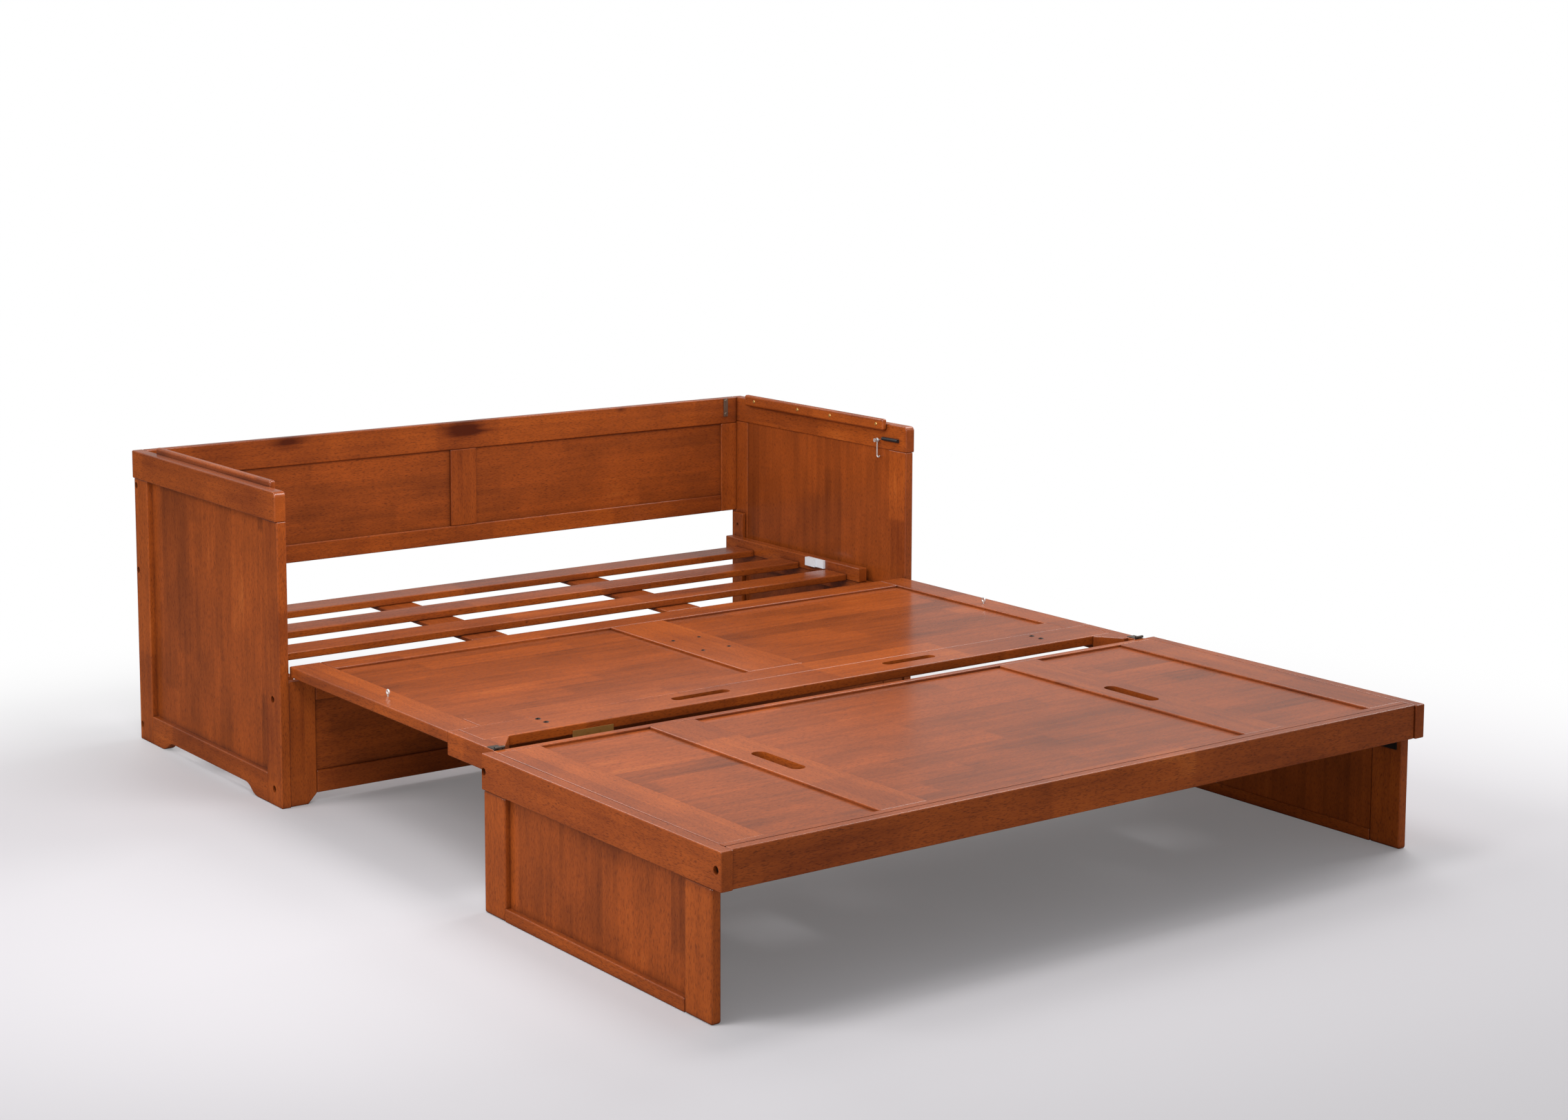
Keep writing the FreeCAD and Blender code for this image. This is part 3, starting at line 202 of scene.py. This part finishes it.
# %% The wood material
def stained_wood(name, grain, strip, tones, knots=(), dark_piece=None):
    """Rubberwood with its grain along one axis, in tones from the darkest to the lightest."""
    material, tree, shader, where = new_material(name)
    axes = add(tree, "ShaderNodeSeparateXYZ", {0: where})
    along, across, through = (axes.outputs[i] for i in GRAIN_AXES[grain])

    def pattern(long, wide, detail, start):
        """Soft noise, long by wide, with the grain."""
        spot = [add(tree, "ShaderNodeMath", {0: length, 1: 1 / size, 2: start}, operation="MULTIPLY_ADD")
                for length, size in ((along, long), (across, wide), (through, wide))]
        place = add(tree, "ShaderNodeCombineXYZ", dict(enumerate(spot)))
        noise = {"Vector": place, "Scale": 1.0, "Detail": detail, "Roughness": 0.55}
        return add(tree, "ShaderNodeTexNoise", noise).outputs["Fac"]

    piece, toothed = glued_pieces(tree, along, across, through, strip)
    blotch = pattern(BLOTCH_LONG, BLOTCH_WIDE, detail=2.0, start=3.1)
    figure = pattern(FIGURE_LONG, FIGURE_WIDE, detail=3.0, start=7.7)
    pores = pattern(PORE_LONG, PORE_WIDE, detail=1.0, start=1.3)
    # Ambient occlusion darkens the tone in corners and between boards: stain that collects there, and painted
    # shade
    stain_and_shade_openness = add(tree, "ShaderNodeAmbientOcclusion", {"Distance": CORNER_STAIN_AND_SHADE_REACH}, samples=6).outputs["AO"]

    layers = [(piece, PIECE_STRENGTH), (blotch, BLOTCH_STRENGTH), (figure, FIGURE_STRENGTH)]
    if dark_piece:
        layers.append((dark_piece_shade(tree, toothed, *dark_piece), DARK_PIECE_STRENGTH))
    for knot in knots:
        layers.append((knot_shade(tree, along, through, figure, knot), KNOT_STRENGTH))
    # the corner layer: darker stain and painted shade where boards meet
    layers.append((stain_and_shade_openness, CORNER_STAIN_AND_SHADE_STRENGTH))
    tone = BASE_TONE
    for layer, strength in layers:
        tone = add(tree, "ShaderNodeMath", {0: layer, 1: strength, 2: tone}, operation="MULTIPLY_ADD")
    tone.use_clamp = True

    ramp = add(tree, "ShaderNodeValToRGB", {0: tone})
    stops = ramp.color_ramp.elements
    while len(stops) < len(tones):
        stops.new(0.5)
    for i, code in enumerate(tones):
        stops[i].position = i / (len(tones) - 1)
        stops[i].color = linear(code)
    deep = add(tree, "ShaderNodeMath", {0: pores, 1: 0.5}, operation="SUBTRACT", use_clamp=True)
    streak = add(tree, "ShaderNodeMath", {0: deep, 1: PORE_STRENGTH}, operation="MULTIPLY", use_clamp=True)
    stains = {0: streak, COLOUR_A: ramp, COLOUR_B: linear(PORE_STAIN)}
    colour = add(tree, "ShaderNodeMix", stains, data_type="RGBA").outputs[COLOUR_RESULT]
    tree.links.new(colour, shader.inputs["Base Color"])
    lacquer(tree, shader, where, pores)
    return material


# %% Frames and panels, by the direction of their grain
# The back's top rail has knots and a dark piece. A knot has its place along the rail, its height above
# the floor and its radius, and the piece has its two ends along the rail.
KNOTS = ((0.014, 0.628, 0.030), (-0.457, 0.640, 0.026), (0.446, 0.642, 0.009))
DARK_PIECE = (-0.066, 0.104)
rail_wood = {g: stained_wood(f"stained_rubberwood_rails_{g}", g, RAIL_STRIP, FRAME_TONES) for g in "XYZ"}
panel_wood = {g: stained_wood(f"stained_rubberwood_panels_{g}", g, PANEL_STRIP, PANEL_TONES) for g in "XZ"}
knotty_wood = stained_wood("stained_rubberwood_knotty", "X", RAIL_STRIP, FRAME_TONES, KNOTS, DARK_PIECE)
print(len(rail_wood) + len(panel_wood) + 1, "woods")

# %% [markdown]
# ## The metals, the rubber and the plastic
#
# The hooks are steel with a bright zinc plating, the hinges are dull steel, the socket bolts are
# blackened, and two small plates are bronze and brass. Plating is smooth but never flawless: a faint
# cloudiness in its roughness gives highlights that break up. The bumpers are moulded rubber, and the
# clip is white plastic.

# %% Hardware materials
CLOUD_SHADE = 0.8        # the darkest part of a finish, as a share of its colour
CLOUD_ROUGHNESS = (0.8, 1.25)    # the roughness runs from the one share of its value to the other


def plain_finish(name, code, metallic, roughness, grit, depth):
    """A finish with a faint unevenness: grit is its size and depth the height of its bumps."""
    material, tree, shader, where = new_material(name)
    cloud = add(tree, "ShaderNodeTexNoise", {"Vector": where, "Scale": 1 / grit, "Detail": 3.0})
    light = linear(code)
    dark = [channel * CLOUD_SHADE for channel in light[:3]] + [1.0]
    shades = {0: cloud, COLOUR_A: dark, COLOUR_B: light}
    shade = add(tree, "ShaderNodeMix", shades, data_type="RGBA").outputs[COLOUR_RESULT]
    tree.links.new(shade, shader.inputs["Base Color"])
    smooth, rough = (roughness * share for share in CLOUD_ROUGHNESS)
    spread = add(tree, "ShaderNodeMapRange", {"Value": cloud, "To Min": smooth, "To Max": rough})
    tree.links.new(spread.outputs[0], shader.inputs["Roughness"])
    bump = add(tree, "ShaderNodeBump", {"Strength": 0.3, "Distance": depth, "Height": cloud})
    tree.links.new(bump.outputs[0], shader.inputs["Normal"])
    shader.inputs["Metallic"].default_value = metallic
    return material


# Each has its colour, how metallic and how rough it is, and the grit and depth of its unevenness.
zinc_steel = plain_finish("bright_zinc_plated_steel", "#d2d2d0", 0.55, 0.3, 0.004, 0.00004)
black_steel = plain_finish("blackened_bolt_steel", "#2b2624", 1.0, 0.42, 0.003, 0.00004)
dull_steel = plain_finish("dull_hinge_steel", "#5e5650", 1.0, 0.55, 0.003, 0.00004)
bronze = plain_finish("antique_bronze_plate", "#7d6a5a", 0.6, 0.38, 0.006, 0.00004)
brass = plain_finish("yellow_brass_plate", "#c8a05a", 0.7, 0.32, 0.006, 0.00004)
rubber = plain_finish("moulded_black_rubber", "#17181b", 0.0, 0.5, 0.0015, 0.0001)
nylon = plain_finish("moulded_white_nylon", "#e6e8ec", 0.0, 0.38, 0.002, 0.00005)
for finish in (zinc_steel, black_steel, dull_steel, bronze, brass, rubber, nylon):
    print("hardware:", finish.name)

# %% [markdown]
# ## Which board gets which wood
#
# A board's grain follows its length, because wood is strong that way. Rails lie, so theirs is
# level, and stiles stand, so theirs is upright.

# %% Finish of every node
FINISH = {
    rail_wood["X"]: ["back_bottom_rail", "front_top_rail", "front_bottom_rail", "rear_stretcher",
                     "deck_slats", "middle_rails", "header", "foot_apron", "foot_rear_rail",
                     "platform_front_rail"],
    knotty_wood: ["back_top_rail"],
    rail_wood["Y"]: ["left_top_rail", "right_top_rail", "side_bottom_rails", "top_cleats", "deck_ledgers",
                     "deck_end_rails", "deck_cross_members", "middle_stiles", "cheeks", "foot_side_rails",
                     "platform_edge_stiles", "platform_slotted_stiles", "left_leg_rail", "right_leg_rail"],
    rail_wood["Z"]: ["left_side_stiles", "right_side_stiles", "back_stiles", "front_stiles",
                     "corner_posts", "left_leg_stiles", "right_leg_stiles"],
    panel_wood["X"]: ["back_panels", "front_panel", "middle_panels", "platform_panels"],
    panel_wood["Z"]: ["side_panels", "left_leg_panel", "right_leg_panel"],
    zinc_steel: ["left_hook", "right_hook", "hook_screws", "middle_eyes"],
    dull_steel: ["middle_hinge_fixed_leaves", "middle_hinge_moving_leaves", "middle_hinge_pins",
                 "foot_hinge_fixed_leaves", "foot_hinge_moving_leaves", "foot_hinge_pins",
                 "leg_hinge_fixed_leaves", "leg_hinge_pins", "left_leg_hinge_leaves",
                 "right_leg_hinge_leaves"],
    black_steel: ["cabinet_bolts", "foot_bolts"],
    bronze: ["strike_plate"],
    brass: ["header_plate"],
    rubber: ["bumpers"],
    nylon: ["slat_clip"],
}
finished = set()
for material, names in FINISH.items():
    for name in names:
        for slot in nodes[name].material_slots:
            slot.material = material
        finished.add(name)
print("nodes without a finish:", sorted(set(nodes) - finished))

# %% [markdown]
# ## Screws
#
# The cleats, the two plates and some boards are held by small screws with a cross recess. They are
# all the same shape, so one Geometry Nodes tree makes them: it takes a low cone without its tip as
# the head, cuts the cross out of it, and copies it to each point of a mesh, turned to face the way
# that the point says. New screws then cost one line each. The two bars that cut the cross overlap,
# which the cut doesn't always bear: some heads keep a few open edges, and on the header plate only
# the crosses are left. Two cuts, one for each bar, would mend that.

# %% A tree that makes screw heads
HEAD_SIDES, HEAD_RINGS = 24, 2
HEAD_TOP = 0.7           # the flat top's radius, as a share of the head's
CROSS_REACH = 1.15       # the cross from end to end, in radii of the head
CROSS_DEPTH = 1.2        # the height of the bars that cut it, in heights of the head


def screw_tree():
    """Screw heads on points, each facing along the point's own facing."""
    tree = bpy.data.node_groups.new("screw_heads", "GeometryNodeTree")
    face = tree.interface
    face.new_socket("Points", in_out="INPUT", socket_type="NodeSocketGeometry")
    for name, value in (("Head radius", 0.0035), ("Head height", 0.0012), ("Recess width", 0.0009)):
        face.new_socket(name, in_out="INPUT", socket_type="NodeSocketFloat").default_value = value
    face.new_socket("Finish", in_out="INPUT", socket_type="NodeSocketMaterial")
    face.new_socket("Screws", in_out="OUTPUT", socket_type="NodeSocketGeometry")
    given = add(tree, "NodeGroupInput")
    radius, height, recess = (given.outputs[n] for n in ("Head radius", "Head height", "Recess width"))

    top = add(tree, "ShaderNodeMath", {0: radius, 1: HEAD_TOP}, operation="MULTIPLY")
    cone = {"Vertices": HEAD_SIDES, "Side Segments": HEAD_RINGS, "Depth": height,
            "Radius Top": top, "Radius Bottom": radius}
    head = add(tree, "GeometryNodeMeshCone", cone)
    reach = add(tree, "ShaderNodeMath", {0: radius, 1: CROSS_REACH}, operation="MULTIPLY")
    deep = add(tree, "ShaderNodeMath", {0: height, 1: CROSS_DEPTH}, operation="MULTIPLY")
    lift = add(tree, "ShaderNodeCombineXYZ", {2: height})
    bars = add(tree, "GeometryNodeJoinGeometry")
    for long, wide in ((reach, recess), (recess, reach)):
        size = add(tree, "ShaderNodeCombineXYZ", {0: long, 1: wide, 2: deep})
        bar = add(tree, "GeometryNodeMeshCube", {"Size": size})
        raised = add(tree, "GeometryNodeTransform", {"Geometry": bar, "Translation": lift})
        tree.links.new(raised.outputs[0], bars.inputs[0])
    cut = add(tree, "GeometryNodeMeshBoolean", {0: head, 1: bars}, operation="DIFFERENCE")

    facing = add(tree, "GeometryNodeInputNamedAttribute", {"Name": "facing"}, data_type="FLOAT_VECTOR")
    turned = add(tree, "FunctionNodeAlignRotationToVector", {"Vector": facing}, axis="Z")
    spread = {"Points": given.outputs["Points"], "Instance": cut, "Rotation": turned}
    copies = add(tree, "GeometryNodeInstanceOnPoints", spread)
    real = add(tree, "GeometryNodeRealizeInstances", {"Geometry": copies})
    done = add(tree, "GeometryNodeSetMaterial", {"Geometry": real, "Material": given.outputs["Finish"]})
    add(tree, "NodeGroupOutput", {0: done})
    return tree


SCREWS = screw_tree()
SCREW_SOCKETS = {item.name: item.identifier for item in SCREWS.interface.items_tree if item.in_out == "INPUT"}
print("inputs of the tree:", list(SCREW_SOCKETS))


# %% Screws from a list of places
def screws(name, body, slot, finish, places, **sizes):
    """One mesh of screw heads on a body. A place is a point in metres and the way that its head faces."""
    mesh = bpy.data.meshes.new(name)
    mesh.from_pydata([point for point, _ in places], [], [])
    facing = mesh.attributes.new("facing", "FLOAT_VECTOR", "POINT")
    facing.data.foreach_set("vector", [c for _, way in places for c in way])
    piece = bpy.data.objects.new(name, mesh)
    bpy.context.scene.collection.objects.link(piece)
    modifier = piece.modifiers.new("screws", "NODES")
    modifier.node_group = SCREWS
    modifier[SCREW_SOCKETS["Finish"]] = finish
    for socket, value in sizes.items():
        modifier[SCREW_SOCKETS[socket.replace("_", " ")]] = value
    graph = bpy.context.evaluated_depsgraph_get()
    made = bpy.data.meshes.new_from_object(piece.evaluated_get(graph))
    piece.modifiers.clear()
    piece.data = made
    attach(piece, body)
    print(f"{name}: {len(places)} screws, {len(made.polygons)} faces")


# %% Screws in the cleats
UP, FRONT = (0, 0, 1), (0, -1, 0)
CLEAT_THICK = 0.014
CLEAT_SCREWS = (0.518, 0.698, 0.829, 1.011)    # where the photograph shows them
cleat_low, cleat_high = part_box("top_cleats")
cleat_face, cleat_level = cleat_high.x - CLEAT_THICK, (cleat_low.z + cleat_high.z) / 2
screws("cleat_screws", "cabinet", "brass_plate", brass,
       [((side * cleat_face, y, cleat_level), (-side, 0, 0)) for side in (-1, 1) for y in CLEAT_SCREWS],
       Head_radius=0.0042, Head_height=0.0016)

# %% Screws in the plates, on their front faces
STRIKE_SCREW_INSET = 0.006                 # from the plate's ends
HEADER_PLATE_SCREWS = (-0.550, -0.523)     # where the photograph shows them
strike_low, strike_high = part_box("strike_plate")
strike_middle = (strike_low.x + strike_high.x) / 2
strike_screws = (strike_low.z + STRIKE_SCREW_INSET, strike_high.z - STRIKE_SCREW_INSET)
screws("strike_plate_screws", "cabinet", "bronze_plate", bronze,
       [((strike_middle, strike_low.y, z), FRONT) for z in strike_screws], Head_radius=0.0036)
plate_low, plate_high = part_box("header_plate")
plate_level = (plate_low.z + plate_high.z) / 2
screws("header_plate_screws", "middle", "brass_plate", brass,
       [((x, plate_low.y, plate_level), FRONT) for x in HEADER_PLATE_SCREWS], Head_radius=0.0040)

# %% Screws in the boards of the middle section, on their top faces
STILE_SCREWS_OUT, STILE_SCREWS = 0.033, (0.1705, 0.0605)       # out from the bed's middle line, and
HEADER_SCREWS_OUT, HEADER_SCREWS = 0.612, (-0.2355, -0.2645)   # along it, as the photograph shows
stile_top, header_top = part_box("middle_stiles")[1].z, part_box("header")[1].z
screws("centre_stile_screws", "middle", "bolt_steel", black_steel,
       [((side * STILE_SCREWS_OUT, y, stile_top), UP) for side in (-1, 1) for y in STILE_SCREWS],
       Head_radius=0.0042)
screws("header_screws", "middle", "bolt_steel", black_steel,
       [((side * HEADER_SCREWS_OUT, y, header_top), UP) for side in (-1, 1) for y in HEADER_SCREWS],
       Head_radius=0.0058)

# %% [markdown]
# ## The studio
#
# The photograph shows a white studio: a floor that runs into a white wall with no edge, under large
# soft lamps. Here the floor is one disc. Close to the bed it is a real surface and takes the shadows,
# and further out it turns to pure white for the camera. What the camera sees as white doesn't light
# the bed: eight lamps do that, with a dim even light from all sides.

# %% How much white is seen, and by which rays
FLOOR_MIRRORED, WALL_MIRRORED = 0.12, 0.38    # reflections of the floor and of the wall are dimmer


def seen_directly(tree, mirrored):
    """1 for rays from the camera, less for those from a reflection, 0 for those that light the bed."""
    path = add(tree, "ShaderNodeLightPath").outputs
    straight = {0: path["Is Camera Ray"], 1: path["Is Transmission Ray"]}
    clear = add(tree, "ShaderNodeMath", straight, operation="MAXIMUM")
    dimmed = {0: path["Is Glossy Ray"], 1: mirrored, 2: clear}
    return add(tree, "ShaderNodeMath", dimmed, operation="MULTIPLY_ADD").outputs[0]


print("a reflection shows", FLOOR_MIRRORED, "of the floor and", WALL_MIRRORED, "of the wall")

# %% The floor's disc
FLOOR_RADIUS, FLOOR_SIDES = 40.0, 64
angles = [math.tau * i / FLOOR_SIDES for i in range(FLOOR_SIDES)]
rim = [(FLOOR_RADIUS * math.cos(angle), FLOOR_RADIUS * math.sin(angle), 0) for angle in angles]
mesh = bpy.data.meshes.new("studio_floor")
mesh.from_pydata(rim, [], [tuple(range(FLOOR_SIDES))])
floor = bpy.data.objects.new("studio_floor", mesh)
bpy.context.scene.collection.objects.link(floor)
print("the floor is", 2 * FLOOR_RADIUS, "m wide")

# %% The floor's finish, where it turns white, and the light painted on it
FLOOR_GREY_MIDDLE = (-0.9, -1.2)    # the middle of the grey part, to the left of the bed's foot end; away from it painted white makes the floor lighter to the right and back
FLOOR_NEAR, FLOOR_FAR = 1.7, 3.4    # from the one distance to the other the grey turns white
FLOOR_PAINTED_LIGHT = 0.12                   # painted light: the least white glow that the camera sees on the floor, which lightens its shadows
paper, tree, shader, where = new_material("matt_studio_floor")
shader.inputs["Base Color"].default_value = linear("#c3c0c3")
shader.inputs["Roughness"].default_value = 0.6
shader.inputs["Specular IOR Level"].default_value = 0.2
back_to_middle = (-FLOOR_GREY_MIDDLE[0], -FLOOR_GREY_MIDDLE[1], 0)
centred = add(tree, "ShaderNodeMapping", {"Vector": where, "Location": back_to_middle})
distance = add(tree, "ShaderNodeVectorMath", {0: centred}, operation="LENGTH").outputs["Value"]
fade = {"Value": distance, "From Min": FLOOR_NEAR, "From Max": FLOOR_FAR, "To Min": FLOOR_PAINTED_LIGHT}
whiteness = add(tree, "ShaderNodeMapRange", fade, interpolation_type="SMOOTHERSTEP")
# The white emission is seen by the camera alone. Far out it is the white backdrop; near the bed it is painted
# light, which lightens the floor's shadows and the floor to the right and back
white = add(tree, "ShaderNodeEmission", {"Color": (1, 1, 1, 1), "Strength": 1.0})
black = add(tree, "ShaderNodeEmission", {"Strength": 0.0})
share = add(tree, "ShaderNodeMath", {0: whiteness, 1: seen_directly(tree, 0.0)}, operation="MULTIPLY")
reflected = add(tree, "ShaderNodeLightPath").outputs["Is Glossy Ray"]
loss = add(tree, "ShaderNodeMath", {0: reflected, 1: 1 - FLOOR_MIRRORED}, operation="MULTIPLY")
near_floor = add(tree, "ShaderNodeMixShader", {0: loss, 1: shader, 2: black})
whole_floor = add(tree, "ShaderNodeMixShader", {0: share, 1: near_floor, 2: white})
tree.links.new(whole_floor.outputs[0], tree.nodes["Material Output"].inputs["Surface"])
floor.data.materials.append(paper)
print("floor turns white between", FLOOR_NEAR, "and", FLOOR_FAR, "m from", FLOOR_GREY_MIDDLE)

# %% The wall and the even light
AMBIENT = 0.42           # the strength of the light that comes from all sides
LEAST_SEEN = 0.01        # rays that see less of the wall than this are rays that light the bed
world = bpy.data.worlds.new("white_studio")
bpy.context.scene.world = world
world.use_nodes = True
tree = world.node_tree
lit = tree.nodes["Background"]
lit.inputs["Color"].default_value = linear("#f4f4f8")
lit.inputs["Strength"].default_value = AMBIENT
seen = seen_directly(tree, WALL_MIRRORED)
wall = add(tree, "ShaderNodeBackground", {"Color": (1, 1, 1, 1), "Strength": seen})
is_seen = add(tree, "ShaderNodeMath", {0: seen, 1: LEAST_SEEN}, operation="GREATER_THAN")
surroundings = add(tree, "ShaderNodeMixShader", {0: is_seen, 1: lit, 2: wall})
tree.links.new(surroundings.outputs[0], tree.nodes["World Output"].inputs["Surface"])
print("even light of strength", AMBIENT)


# %% Lamps
def soft_lamp(name, place, aim, size, watts):
    """A soft box, wide by tall, that faces a point."""
    lamp = bpy.data.lights.new(name, "AREA")
    lamp.shape, lamp.size, lamp.size_y = "RECTANGLE", size[0], size[1]
    lamp.energy = watts
    holder = bpy.data.objects.new(name, lamp)
    holder.location = place
    holder.rotation_euler = (Vector(aim) - Vector(place)).to_track_quat("-Z", "Y").to_euler()
    bpy.context.scene.collection.objects.link(holder)


soft_lamp("rear_lamp", (-0.4, 2.9, 2.9), aim=(0.0, -0.3, 0.3), size=(1.6, 1.2), watts=26)
soft_lamp("right_lamp", (2.4, 0.9, 2.9), aim=(0.0, -0.4, 0.3), size=(1.6, 1.6), watts=46)
soft_lamp("low_right_lamp", (3.6, -0.6, 2.0), aim=(0.0, 0.0, 0.3), size=(1.8, 1.8), watts=60)
soft_lamp("left_lamp", (-4.6, 0.3, 1.1), aim=(0.0, 0.0, 0.35), size=(1.6, 1.2), watts=46)
soft_lamp("high_left_lamp", (-3.9, 1.2, 3.1), aim=(0.0, 0.0, 0.35), size=(1.2, 1.2), watts=50)
soft_lamp("low_front_lamp", (-2.6, -4.4, 0.7), aim=(0.0, -0.4, 0.2), size=(1.4, 1.0), watts=38)
soft_lamp("cabinet_lamp", (-1.4, -0.9, 1.5), aim=(0.2, 1.1, 0.4), size=(0.7, 0.7), watts=20)
soft_lamp("middle_lamp", (-0.1, -0.5, 2.2), aim=(0.0, 1.1, 0.4), size=(0.9, 0.9), watts=26)

# %% [markdown]
# ## The camera
#
# The camera stands off the bed's left foot corner, about as high as the eyes of someone who stands.
# Its place, angle and lens were worked out from corners that the photograph and the CAD model share.
# The lens is shifted, as a view camera's is, so that upright lines lean less.

# %% Camera
IMAGE_WIDE, IMAGE_TALL = 2274, 1624    # the photograph's size in pixels
LEVEL_ROW = 560                        # its row that the lens points at
FOCAL_PIXELS = 3925.8                  # the focal length, in its pixels
SENSOR_WIDE = 36                       # millimetres
CAMERA_PLACE = (-3.171, -4.4597, 1.5281)
YAW, PITCH, ROLL = math.radians(36.5), math.radians(-7.1), math.radians(0.17)

lens = bpy.data.cameras.new("camera")
lens.sensor_width = SENSOR_WIDE
lens.lens = FOCAL_PIXELS * SENSOR_WIDE / IMAGE_WIDE
lens.shift_y = (LEVEL_ROW - IMAGE_TALL / 2) / IMAGE_WIDE
camera = bpy.data.objects.new("camera", lens)
camera.location = CAMERA_PLACE
heading = Euler((0, 0, -YAW)).to_matrix()
tilt = Euler((math.pi / 2 + PITCH, 0, 0)).to_matrix()
lean = Euler((0, 0, ROLL)).to_matrix()
camera.rotation_euler = (heading @ tilt @ lean).to_euler()
bpy.context.scene.collection.objects.link(camera)
bpy.context.scene.camera = camera
bpy.context.scene.view_settings.view_transform = "Standard"
print("lens", round(lens.lens, 2), "mm, shift", round(lens.shift_y, 4))

# %% The end
print("the scene is set up")
